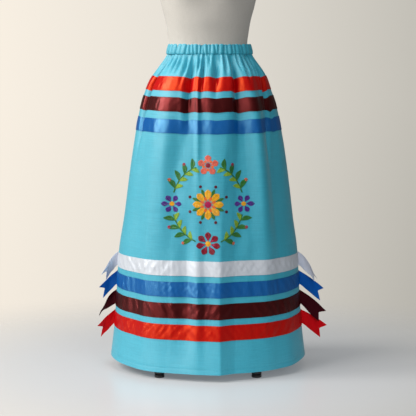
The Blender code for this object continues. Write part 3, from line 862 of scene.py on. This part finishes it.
def make_waistband():
    angle = (np.arange(BAND_COLUMNS) / BAND_COLUMNS * 360 - 90)[None, :]
    share_out = np.concatenate((np.linspace(-0.02, 0.82, 22), np.linspace(0.86, 0.99, 6)))
    outer_out = smooth_table(share_out, *zip(*BAND_OUTSIDE))
    share = np.concatenate((share_out, [row[0] for row in BAND_INSIDE]))[:, None]
    out = np.concatenate((outer_out, [row[1] for row in BAND_INSIDE]))[:, None]
    outside = np.where(np.arange(len(share)) < len(share_out), 1.0, 0.0)[:, None]
    over_top = np.clip((share - 0.80) / 0.2, 0, 1)
    ruffles = band_ruffles(angle, share)
    casing_seam = CASING_SEAM * np.exp(-(((share - 0.02) / CASING_SEAM_REACH) ** 2)) * outside
    tuck = ruffles * outside * (1 - 0.55 * over_top) + casing_seam
    height = BAND_LOW + (BAND_HIGH - BAND_LOW) * share + (0.0012 - ruffles * 0.55) * over_top
    grid = form_surface(angle + 0 * share, height, np.maximum(out - tuck, 0.0006))
    grid[..., 0] += sway(height)
    down = np.cumsum(np.abs(np.diff(share[:, 0], prepend=share[0, 0]))) * (BAND_HIGH - BAND_LOW)
    uv = np.stack(np.meshgrid(angle[0] / 360 * BAND_ROUND, down), axis=-1)
    # Round the ring of rows as well, so that the tube is closed.
    grid = np.concatenate((grid, grid[:1]))
    uv = np.concatenate((uv, uv[-1:] + (0.0, 0.002)))
    mesh = tube_mesh("waistband_casing", grid[::-1], uv[::-1])
    with mending(mesh) as bm:
        bmesh.ops.remove_doubles(bm, verts=bm.verts, dist=WELD)
        bmesh.ops.recalc_face_normals(bm, faces=bm.faces)
    band = new_object("waistband_casing", mesh, cotton)
    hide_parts("waistband")
    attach(band, "root")


make_waistband()

# ---- Satin ribbons ---------------------------------------------------
# Seven bands of polyester satin ribbon with woven edges, laid flat round the skirt and
# stitched down along both edges. The stitches draw the satin into small puckers.

SATIN = {
    # deep colour, light colour, colour of its shine, roughness
    "red": ((0.36, 0.001, 0.003), (0.50, 0.002, 0.006), (1.0, 0.17, 0.04), 0.32),
    "maroon": ((0.018, 0.002, 0.002), (0.034, 0.003, 0.004), (0.66, 0.10, 0.10), 0.32),
    "blue": ((0.001, 0.058, 0.23), (0.001, 0.105, 0.41), (0.31, 0.82, 1.0), 0.30),
    "white": ((0.50, 0.54, 0.60), (0.62, 0.66, 0.72), (0.9, 0.95, 1.0), 0.34),
}
# name, height of the upper edge, width, colour
RIBBONS = (
    ("upper_red", 0.8367, 0.0385, "red"),
    ("upper_maroon", 0.7813, 0.0385, "maroon"),
    ("upper_blue", 0.7217, 0.0385, "blue"),
    ("lower_white", 0.3270, 0.0420, "white"),
    ("lower_blue", 0.2685, 0.0420, "blue"),
    ("lower_maroon", 0.2100, 0.0420, "maroon"),
    ("lower_red", 0.1515, 0.0420, "red"),
)
RIBBON_CLOTH, RIBBON_CLEAR, RIBBON_ROWS = 0.0005, 0.0004, 13
# However it wrinkles, the satin lies at least this far off the panel.
RIBBON_LEAST = 0.0008
# The upper ribbons take up their slack in the folds, and the lower ones in small wrinkles.
UPPER_PUCKER, LOWER_PUCKER = 0.007, 0.028
# Wrinkles laid over each other, their lengths, and the radius of skirt they are measured on.
PUCKER_COUNT, PUCKER_LENGTHS, PUCKER_RADIUS = 9, (0.010, 0.034), 0.22
# The ripple at the stitches: its length, how it wanders and how far in it reaches.
RIPPLE_LENGTH, RIPPLE_WANDER, RIPPLE_REACH = 0.0085, 0.021, 0.004


def satin(colour, dark, light, shine, roughness, gloss=0.9):
    made, tree, shader = new_material(
        f"satin_{colour}", light, roughness, Anisotropic=0.8, Anisotropic_Rotation=0.25,
        IOR=1.8, Specular_IOR_Level=gloss, Specular_Tint=(*shine, 1.0),
    )
    place = cloth_map(tree)
    split = node(tree, "ShaderNodeSeparateXYZ", _0=place)
    floats = stretched_noise(tree, place, 60.0, 5200.0, 3.0)
    mixed = weighted(tree, floats, 0.6, noise(tree, place, 26.0, 4.0))
    plain = blend_colours(tree, mixed, (*dark, 1), (*light, 1))
    # The woven edges are ribbed, darker and duller.
    ribs = maths(tree, "SINE", times(tree, split.outputs["X"], 2 * math.pi / 0.0007))
    from_middle = maths(tree, "ABSOLUTE", minus(tree, split.outputs["Y"], 0.5))
    selvedge = ranged(tree, from_middle, From_Min=0.466, From_Max=0.474)
    darker = blend_colours(tree, times(tree, selvedge, 0.35), plain, (*dark, 1))
    rough = plus(tree, times(tree, selvedge, 0.2), roughness)
    height = plus(tree, times(tree, floats, 0.8), times(tree, ribs, selvedge))
    fine = bumps(tree, height, 0.35, 0.0001)
    crinkle = noise(tree, place, 170.0, 3.0)
    soft = bumps(tree, crinkle, 0.45, 0.0006, Normal=fine)
    along = node(tree, "ShaderNodeTangent", {"direction_type": "UV_MAP", "uv_map": "cloth"})
    feed(tree, shader, Tangent=along.outputs[0], Base_Color=darker, Roughness=rough, Normal=soft)
    return made


def pucker(angle, share, seed, width, steepness):
    """Small wrinkles of the satin between its two lines of stitches."""
    chance = np.random.default_rng(seed)
    along = np.radians(angle) * PUCKER_RADIUS
    across = share * width
    total = np.zeros(np.broadcast(along, across).shape)
    for _ in range(PUCKER_COUNT):
        length = chance.uniform(*PUCKER_LENGTHS)
        lean = chance.uniform(-0.9, 0.9)
        phase = chance.uniform(0, 2 * math.pi)
        wander = 1.5 * np.sin(along / chance.uniform(0.03, 0.08) + chance.uniform(0, 6.3))
        wave = np.sin((along + lean * across) * 2 * math.pi / length + phase + wander)
        patch = np.clip(np.sin(along / chance.uniform(0.03, 0.09) + chance.uniform(0, 6.3)), 0, 1)
        total = total + wave * patch * length
    middle = np.sin(math.pi * np.clip(share, 0, 1)) ** 0.7
    at_edge = np.exp(-np.minimum(share, 1 - share) * width / RIPPLE_REACH)
    wander = 3 * np.sin(along / RIPPLE_WANDER + seed)
    edge_wave = np.sin(along * 2 * math.pi / RIPPLE_LENGTH + wander)
    return total * steepness * middle + 0.0006 * middle + 0.0003 * edge_wave * at_edge


def ribbon_out(number, name, side, angles, share, width, more=0.0):
    """How far a ribbon's outer face lies off the panel, at shares of its width."""
    steepness = UPPER_PUCKER if name.startswith("upper") else LOWER_PUCKER
    seed = number * 2 + (side == "back")
    return RIBBON_CLEAR + RIBBON_CLOTH + more + pucker(angles, share, seed, width, steepness)


satins = {name: satin(name, *values) for name, values in SATIN.items()}
for number, (name, top, width, colour) in enumerate(RIBBONS):
    for side, first, last, column_count in PANELS:
        share = np.concatenate(([0.0, 0.035], np.linspace(0.09, 0.91, RIBBON_ROWS - 4), [0.965, 1.0]))
        heights = top - share * width
        angles = panel_angles(first, last, column_count, heights)
        out = ribbon_out(number, name, side, angles, share[:, None], width)
        grid = sewn_in(cloth(angles, heights[:, None], np.maximum(out, RIBBON_LEAST)), angles, first, last)
        round_cut = np.interp(top - width / 2, (HEM_HEIGHT, WAIST_SEAM), (hem_cut, waist_cut))
        across = np.linspace(-0.5, 0.5, column_count)[None, :] * round_cut
        uv = np.stack(np.broadcast_arrays(across, 1 - share[:, None]), axis=-1)
        piece = cloth_wall(f"ribbon_{name}_{side}_satin", grid, RIBBON_CLOTH, uv, satins[colour])
        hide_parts(f"ribbon_{name}_{side}")
        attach(piece, "root")

# ---- Ribbon tails ----------------------------------------------------
# The lower ribbons run on past each side seam as loose tails, which hang from the seam.
# Each tail is cut in a swallow tail and has relaxed into a bend and a slight twist.

# Out and drop run from the middle of the seam to the middle of the cut end. Lean and rise
# are how far that end's top corner lies out from and above its bottom corner, and roll
# turns the top corner back (1) or forward (-1). The knee is the bend, as shares of both.
# ribbon, side, out, drop, lean, rise, knee out, knee drop, roll, swing to the back
TAILS = (
    ("lower_white", "left", 0.042, 0.056, 0.014, 0.020, 0.30, 0.10, -1, -0.006),
    ("lower_blue", "left", 0.0465, 0.045, 0.011, 0.035, 0.34, 0.28, -1, -0.008),
    ("lower_maroon", "left", 0.047, 0.052, -0.004, 0.018, 0.62, 0.30, -1, -0.004),
    ("lower_red", "left", 0.0455, 0.044, 0.0105, 0.0365, 0.30, 0.24, -1, -0.008),
    ("lower_white", "right", 0.0525, 0.066, 0.014, 0.003, 0.42, 0.18, 1, 0.008),
    ("lower_blue", "right", 0.0675, 0.052, 0.0135, 0.035, 0.32, 0.26, 1, 0.006),
    ("lower_maroon", "right", 0.066, 0.0585, 0.024, 0.0295, 0.35, 0.28, 1, 0),
    ("lower_red", "right", 0.066, 0.0455, 0.0215, 0.0345, 0.35, 0.26, 1, 0.006),
)
# The duller reverse of the satin, which the loose tails show: deep colour, light colour.
REVERSE = {
    "red": ((0.55, 0.002, 0.008), (0.72, 0.004, 0.012)),
    "maroon": ((0.026, 0.003, 0.005), (0.046, 0.004, 0.009)),
    "blue": ((0.002, 0.070, 0.33), (0.003, 0.105, 0.50)),
    "white": ((0.58, 0.62, 0.73), (0.66, 0.70, 0.82)),
}
TAIL_NOTCH, TAIL_CURL, TAIL_RIPPLE = 0.013, 0.0022, 0.0010
TAIL_COLUMNS, TAIL_ROWS = 14, 34
# Each tail starts this far out from its seam and this far inside the ribbon's edges.
TAIL_START, TAIL_INSET = 0.0008, 0.0004


def tail_grid(top, bottom, side, shape, seed):
    """Points of a tail, along it by row and across it by column, from its seam to its tip."""
    out, drop, lean, rise, knee_out, knee_drop, roll, swing = shape
    phase = np.random.default_rng(seed).uniform(0, 6.3)
    width = np.linalg.norm(top - bottom)
    length = math.hypot(out, drop)
    across = np.linspace(0, 1, TAIL_COLUMNS)[None, :, None]
    along = np.linspace(0, 1, TAIL_ROWS)[:, None, None]
    share = along * (1 - TAIL_NOTCH / length * (1 - np.abs(2 * across - 1)))
    start = (top + bottom) / 2 + (side * TAIL_START, 0.0, 0.0)
    knee = start + (side * out * knee_out, 0.0, -drop * knee_drop)
    end = start + (side * out, swing, -drop)
    middle = start * (1 - share) ** 2 + knee * (2 * share * (1 - share)) + end * share**2
    way = (knee - start) * (1 - share) + (end - knee) * share
    aside = math.sqrt(width**2 - lean**2 - rise**2)
    settled = np.array((side * lean, roll * aside, rise)) / width
    blend = eased(share)
    wide = unit((top - bottom) / width * (1 - blend) + settled * blend)
    face = unit(np.cross(way, wide))
    curl = TAIL_CURL * share * np.cos(math.pi * (across - 0.5) + 0.6) * (1 + share)
    ripple = TAIL_RIPPLE * share * np.sin(share * length * 190 + across * 3.2 + phase)
    return middle + wide * (width * (across - 0.5)) + face * (curl + ripple)


ribbon_by_name = {row[0]: row for row in RIBBONS}
reverses = {
    name: satin(f"{name}_reverse", dark, light, SATIN[name][2], 0.45, 0.25)
    for name, (dark, light) in REVERSE.items()
}
for number, (name, hand, *shape) in enumerate(TAILS):
    _, top, width, colour = ribbon_by_name[name]
    side = -1 if hand == "left" else 1
    ends = cloth(90.0 * side, np.array((top - TAIL_INSET, top - width + TAIL_INSET)))
    ends[:, 1] = 0.0
    grid = tail_grid(ends[0], ends[1], side, shape, 40 + number)
    middle_line = grid[:, TAIL_COLUMNS // 2 - 1 : TAIL_COLUMNS // 2 + 1].mean(axis=1)
    length = np.linalg.norm(np.diff(middle_line, axis=0), axis=1).sum() + TAIL_NOTCH
    rise = np.linspace(0, 1, TAIL_COLUMNS)
    own = length - TAIL_NOTCH * (1 - np.abs(2 * rise - 1))
    if side < 0:
        grid, rise, own = grid[:, ::-1], rise[::-1], own[::-1]
    uv = np.stack((np.linspace(0, 1, TAIL_ROWS)[:, None] * own[None, :], rise + 0 * grid[..., 0]), axis=-1)
    piece = cloth_wall(f"tail_{name}_{hand}_satin", grid, RIBBON_CLOTH, uv, reverses[colour])
    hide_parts(f"tail_{name}_{hand}")
    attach(piece, "root")

# ---- Stitching -------------------------------------------------------
# Lockstitch seams in matching thread: along both edges of every ribbon, round the hem,
# and round the lower edge of the elastic casing.

THREAD_RADIUS = 0.00022
RIBBON_STITCH, HEM_STITCH = 0.0030, 0.0034
# Where seams run: at shares of a ribbon's width, and at a share of the casing's height.
RIBBON_SEAMS, CASING_SHARE = (0.045, 0.955), 0.03
THREADS = {
    "red": (0.30, 0.002, 0.005),
    "maroon": (0.025, 0.003, 0.004),
    "blue": (0.002, 0.050, 0.20),
    "white": (0.62, 0.66, 0.70),
    "turquoise": (0.030, 0.30, 0.42),
}


def thread_material(name, colour, roughness=0.45):
    """Shiny spun thread: fine twist lines and a shade of its own on each stretch of it."""
    made, tree, shader = new_material(f"thread_{name}", colour, roughness, Specular_IOR_Level=0.5)
    place = node(tree, "ShaderNodeTexCoord").outputs["Object"]
    own = node(tree, "ShaderNodeAttribute", {"attribute_name": "shade"}).outputs["Fac"]
    ply = noise(tree, place, 2600.0, 2.0)
    dark, light = [c * 0.62 for c in colour], [min(1.0, c * 1.25 + 0.004) for c in colour]
    mix = blend_colours(tree, weighted(tree, own, 0.7, ply), (*dark, 1), (*light, 1))
    feed(tree, shader, Base_Color=mix, Normal=bumps(tree, ply, 0.4, 0.0001))
    return made


def node_group(name, **sizes):
    """An empty Geometry Nodes tree with a geometry input and output and named inputs."""
    tree = bpy.data.node_groups.new(name, "GeometryNodeTree")
    tree.interface.new_socket("Geometry", in_out="INPUT", socket_type="NodeSocketGeometry")
    for key, kind in sizes.items():
        label, kind = key.replace("_", " "), f"NodeSocket{kind}"
        tree.interface.new_socket(label, in_out="INPUT", socket_type=kind)
    tree.interface.new_socket("Geometry", in_out="OUTPUT", socket_type="NodeSocketGeometry")
    return tree, tree.nodes.new("NodeGroupInput"), tree.nodes.new("NodeGroupOutput")


def finish_tree(tree, given, result, geometry):
    """End a tree in Realize Instances and Set Material."""
    real = node(tree, "GeometryNodeRealizeInstances", _0=geometry)
    painted = node(
        tree, "GeometryNodeSetMaterial", Geometry=real.outputs[0], Material=given.outputs["Material"]
    )
    feed(tree, result, Geometry=painted.outputs[0])


def stitch_tree():
    """A bead of thread at every pitch along a line, each of its own length and shade."""
    tree, given, result = node_group(
        "running_stitch", Pitch="Float", Thread_Radius="Float", Material="Material", Seed="Int"
    )
    pitch, radius, seed = (given.outputs[key] for key in ("Pitch", "Thread Radius", "Seed"))
    line = node(tree, "GeometryNodeMeshToCurve", Mesh=given.outputs["Geometry"]).outputs[0]
    even = node(tree, "GeometryNodeResampleCurve", {"mode": "LENGTH"}, Curve=line, Length=pitch)
    bead = node(tree, "GeometryNodeMeshIcoSphere", Radius=1.0, Subdivisions=1)
    along = node(tree, "GeometryNodeInputTangent").outputs[0]
    turned = node(tree, "FunctionNodeAlignRotationToVector", {"axis": "X"}, Vector=along)
    decimal = {"data_type": "FLOAT"}
    chance = node(tree, "FunctionNodeRandomValue", decimal, _2=0.36, _3=0.44, Seed=seed)
    length = times(tree, chance.outputs[1], pitch)
    size = node(tree, "ShaderNodeCombineXYZ", X=length, Y=radius, Z=radius)
    beads = node(
        tree, "GeometryNodeInstanceOnPoints", Points=even.outputs[0],
        Instance=bead.outputs[0], Rotation=turned.outputs[0], Scale=size.outputs[0],
    )
    own = node(tree, "FunctionNodeRandomValue", decimal, Seed=seed).outputs[1]
    shaded = node(
        tree, "GeometryNodeStoreNamedAttribute", {"data_type": "FLOAT", "domain": "INSTANCE"},
        Geometry=beads.outputs[0], Name="shade", Value=own,
    )
    finish_tree(tree, given, result, shaded.outputs[0])
    return tree


def grown(name, lines, tree, shades=None, **sizes):
    """A plain mesh that a Geometry Nodes tree makes from lines of points."""
    points, edges = [], []
    for line in lines:
        start = len(points)
        points.extend(tuple(map(float, p)) for p in line)
        edges.extend((i, i + 1) for i in range(start, len(points) - 1))
    mesh = bpy.data.meshes.new(f"{name}_lines")
    mesh.from_pydata(points, edges, [])
    if shades is not None:
        layer = mesh.attributes.new("shade", "FLOAT", "POINT")
        layer.data.foreach_set("value", np.repeat(shades, [len(line) for line in lines]))
    source = new_object(f"{name}_lines", mesh)
    modifier = source.modifiers.new("nodes", "NODES")
    modifier.node_group = tree
    for item in tree.interface.items_tree:
        key = item.name.replace(" ", "_").lower()
        if item.in_out == "INPUT" and key in sizes:
            modifier[item.identifier] = sizes[key]
    seen = source.evaluated_get(bpy.context.evaluated_depsgraph_get())
    result = bpy.data.meshes.new_from_object(seen)
    result.name = name
    bpy.data.objects.remove(source)
    result.shade_smooth()
    return new_object(name, result)


running_stitch = stitch_tree()
threads = {name: thread_material(name, colour) for name, colour in THREADS.items()}
for number, (name, top, width, colour) in enumerate(RIBBONS):
    lines = []
    for side, first, last, column_count in PANELS:
        for share in RIBBON_SEAMS:
            height = np.array((top - share * width,))
            angles = panel_angles(first, last, column_count * 2, height)[0][2:-2]
            out = ribbon_out(number, name, side, angles, share, width, 0.0001)
            lines.append(cloth(angles, height[0], np.maximum(out, 0.0010)))
    seam = grown(
        f"ribbon_{name}_stitches", lines, running_stitch,
        pitch=RIBBON_STITCH, thread_radius=THREAD_RADIUS, material=threads[colour], seed=number,
    )
    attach(seam, "root")

round_angles = np.linspace(-90, 270, 1200)
hem_line = cloth(round_angles, HEM_HEIGHT + HEM_TURNING, -0.0004)
band_out = smooth_table(np.array((CASING_SHARE,)), *zip(*BAND_OUTSIDE))[0]
band_line = form_surface(
    round_angles,
    np.full_like(round_angles, BAND_LOW + CASING_SHARE * (BAND_HIGH - BAND_LOW)),
    np.maximum(band_out - band_ruffles(round_angles, CASING_SHARE) - 0.0009, 0.0008),
)
band_line[:, 0] += WAIST_SWAY
for name, line, pitch in (
    ("hem_stitches", hem_line, HEM_STITCH),
    ("casing_stitches", band_line, RIBBON_STITCH),
):
    seam = grown(
        name, [line], running_stitch,
        pitch=pitch, thread_radius=THREAD_RADIUS, material=threads["turquoise"], seed=9,
    )
    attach(seam, "root")

# ---- Embroidery ------------------------------------------------------
# Satin stitch in shiny rayon threads on the front: an oval wreath of leaves round a rosette.
# Threads lie side by side across each leaf and petal, raised over their padding.

EMBROIDERY_COLOURS = {
    "magenta": (0.48, 0.012, 0.095),
    "orange": (0.82, 0.16, 0.020),
    "gold": (0.86, 0.42, 0.020),
    "lime": (0.26, 0.44, 0.035),
    "green": (0.035, 0.19, 0.035),
    "purple": (0.085, 0.025, 0.26),
    "crimson": (0.26, 0.006, 0.025),
    "salmon": (0.74, 0.15, 0.10),
    "maroon": (0.13, 0.006, 0.022),
}
# Radius of the thread, space between threads, height over their padding, slant of a stem.
EMBROIDERY_THREAD, EMBROIDERY_PITCH, EMBROIDERY_RISE, STEM_SLANT = 0.00034, 0.00052, 0.0009, 0.0009
# The oval wreath, as its middle and its half sizes across and up the front, in metres.
WREATH_MIDDLE, WREATH_HALF = np.array((0.0, 0.486)), np.array((0.100, 0.110))
# Each stem starts at one of these angles. Pairs of leaves grow from it at even steps.
STEMS, LEAF_PAIRS, LEAF_STEP, STEM_WIDTH = (-70, 17), 4, 13, 0.0036
embroidery_lines = {name: [] for name in EMBROIDERY_COLOURS}


def on_front(across, up, out):
    """Points on the front of the skirt at distances across from its middle and up from the floor."""
    across, up = np.asarray(across, float), np.asarray(up, float)
    half_width = read_sections(SKIRT_SECTIONS, up)[0]
    return cloth(np.degrees(np.arcsin(across / half_width)), up, out)


def lay_threads(colour, starts, ends, mirrored=True):
    """Lay one thread from each start to its end, arched over the cloth. Mirror them if asked."""
    starts, ends = np.asarray(starts), np.asarray(ends)
    share = np.linspace(0, 1, 4)
    spots = starts[:, None] + (ends - starts)[:, None] * share[None, :, None]
    arch = 0.0001 + EMBROIDERY_RISE * np.sin(math.pi * np.clip(share, 0.06, 0.94)) ** 0.8
    arch = np.broadcast_to(arch, spots.shape[:2])
    for sign in (1, -1) if mirrored else (1,):
        path = on_front(spots[..., 0] * sign, spots[..., 1], arch)
        embroidery_lines[colour].extend(path)


def leaf(colour, root, tip, width, belly, bend, mirrored=True):
    """A leaf or petal: threads slope from its middle line to its edge on both sides."""
    root, tip = np.array(root), np.array(tip)
    line = tip - root
    length = np.linalg.norm(line)
    side = np.array((-line[1], line[0])) / length
    count = max(6, int(length / EMBROIDERY_PITCH))
    share = (np.arange(count) + 0.5) / count
    half = width / 2 * np.sin(math.pi * share ** (math.log(0.5) / math.log(belly))) ** 0.8

    def spine(at):
        bow = bend * np.sin(math.pi * np.clip(at, 0, 1))
        return root + line * at[:, None] + side * bow[:, None]

    lean = np.clip(share + 0.10 * (1 - share), 0, 1)
    for hand in (1, -1):
        middle = spine(share) + side * (0.00012 * hand)
        edge = spine(lean) + side * (half * hand)[:, None]
        lay_threads(colour, middle, edge, mirrored)


def lengths_along(points):
    """The length of a line of points up to each of them."""
    return np.concatenate(([0], np.cumsum(np.linalg.norm(np.diff(points, axis=0), axis=1))))


def curve_through(places, count):
    """Even points on a smooth curve through places, and its length."""
    places = np.array(places)
    step = lengths_along(places)
    fine = np.linspace(0, step[-1], 400)
    inside = np.stack(
        [between_rows(fine, step, values, np.gradient(values, step)) for values in places.T], axis=-1
    )
    walked = lengths_along(inside)
    at = np.linspace(0, walked[-1], count)
    return np.stack([np.interp(at, walked, values) for values in inside.T], axis=-1), walked[-1]


def stem(colour, places, width):
    """A stem in slanted stem stitch along a curve through places, and its mirror image."""
    _, length = curve_through(places, 2)
    path, _ = curve_through(places, int(length / (EMBROIDERY_PITCH * 1.35)))
    along = unit(np.gradient(path, axis=0))
    side = np.stack((-along[:, 1], along[:, 0]), axis=-1)
    slant = along * STEM_SLANT
    lay_threads(colour, path - side * (width / 2) - slant, path + side * (width / 2) + slant)


def berry(colour, place, radius, mirrored=True):
    """A round spot of threads that run across it."""
    count = max(5, int(2 * radius / EMBROIDERY_PITCH))
    share = (np.arange(count) + 0.5) / count * 2 - 1
    half = radius * np.sqrt(1 - share**2)
    rows = place[1] + share * radius
    starts = np.stack((place[0] - half, rows), axis=-1)
    ends = np.stack((place[0] + half, rows), axis=-1)
    lay_threads(colour, starts, ends, mirrored)


def way_at(degrees):
    """The way out from a middle at an angle."""
    turn = math.radians(degrees)
    return np.array((math.cos(turn), math.sin(turn)))


def flower(colour, place, petals, reach, width, start, inner, mirrored=True):
    """Petals round a place. A flower on the middle line isn't mirrored."""
    for i in range(petals):
        way = way_at(start + i * 360.0 / petals)
        leaf(colour, place + way * inner, place + way * reach, width, 0.6, 0.0, mirrored)


def on_wreath(degrees):
    """A place on the wreath's stem, the way along it and the way out of it."""
    way = way_at(degrees)
    along = unit(np.array((-WREATH_HALF[0] * way[1], WREATH_HALF[1] * way[0])))
    return WREATH_MIDDLE + WREATH_HALF * way, along, np.array((along[1], -along[0]))


def lay_wreath():
    """A purple flower on each side, a salmon one on top, a crimson one at the foot, a gold rosette."""
    # The stem runs in four arcs between the flowers. Its leaves grow in pairs up both sides.
    for first in STEMS:
        stem("green", [on_wreath(first + step)[0] for step in range(0, 60, 9)], STEM_WIDTH)
        for i in range(LEAF_PAIRS):
            place, along, out = on_wreath(first + 5 + i * LEAF_STEP)
            leaf("green", place, place + (along * 0.62 + out * 0.78) * 0.0330, 0.0135, 0.5, 0.004)
            leaf("lime", place, place + (along * 0.70 - out * 0.71) * 0.0260, 0.0115, 0.5, -0.004)
            if i % 2 == 0:
                berry(("salmon", "magenta")[i // 2], place + along * 0.020 + out * 0.0215, 0.0046)
    side, top, foot = (on_wreath(degrees)[0] for degrees in (0, 90, 270))
    middle = WREATH_MIDDLE
    # A flower has petals, their reach and width, its first angle and where they start. A berry
    # has a radius. Only those at the side have a mirror image.
    for lay, colour, place, *sizes in (
        (flower, "purple", side, 6, 0.0260, 0.0135, 60, 0.0055),
        (berry, "gold", side, 0.0064),
        (flower, "salmon", top, 5, 0.0290, 0.0180, 90, 0.0060),
        (flower, "orange", top, 5, 0.0170, 0.0070, 126, 0.0060),
        (berry, "crimson", top, 0.0066),
        (flower, "crimson", foot, 7, 0.0330, 0.0170, 90, 0.0070),
        (flower, "magenta", foot, 7, 0.0180, 0.0070, 90, 0.0070),
        (berry, "gold", foot, 0.0074),
        (flower, "green", middle, 8, 0.0460, 0.0085, 112.5, 0.0200),
        (flower, "gold", middle, 8, 0.0420, 0.0190, 90, 0.0095),
        (flower, "orange", middle, 8, 0.0235, 0.0080, 112.5, 0.0080),
        (berry, "magenta", middle, 0.0092),
    ):
        lay(colour, place, *sizes, mirrored=place is side)
    for degrees in (-67.5, -22.5, 22.5, 67.5):
        berry("maroon", middle + way_at(degrees) * 0.0540, 0.0040)


def satin_stitch_tree():
    """A round thread along each line, thinner at both ends."""
    tree, given, result = node_group("satin_stitch", Thread_Radius="Float", Material="Material")
    line = node(tree, "GeometryNodeMeshToCurve", Mesh=given.outputs["Geometry"]).outputs[0]
    share = node(tree, "GeometryNodeSplineParameter").outputs["Factor"]
    swell = maths(tree, "SINE", times(tree, share, math.pi))
    radius = plus(tree, times(tree, swell, 0.35), 0.65)
    tapered = node(tree, "GeometryNodeSetCurveRadius", Curve=line, Radius=radius).outputs[0]
    thick = given.outputs["Thread Radius"]
    ring = node(tree, "GeometryNodeCurvePrimitiveCircle", Resolution=4, Radius=thick).outputs[0]
    tube = node(tree, "GeometryNodeCurveToMesh", Curve=tapered, _1=ring, Fill_Caps=True)
    finish_tree(tree, given, result, tube.outputs[0])
    return tree


lay_wreath()
satin_stitch = satin_stitch_tree()
chance = np.random.default_rng(11)
for name, colour in EMBROIDERY_COLOURS.items():
    lines = embroidery_lines[name]
    piece = grown(
        f"embroidery_{name}", lines, satin_stitch, chance.uniform(0, 1, len(lines)),
        thread_radius=EMBROIDERY_THREAD, material=thread_material(f"embroidery_{name}", colour, 0.38),
    )
    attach(piece, "root")
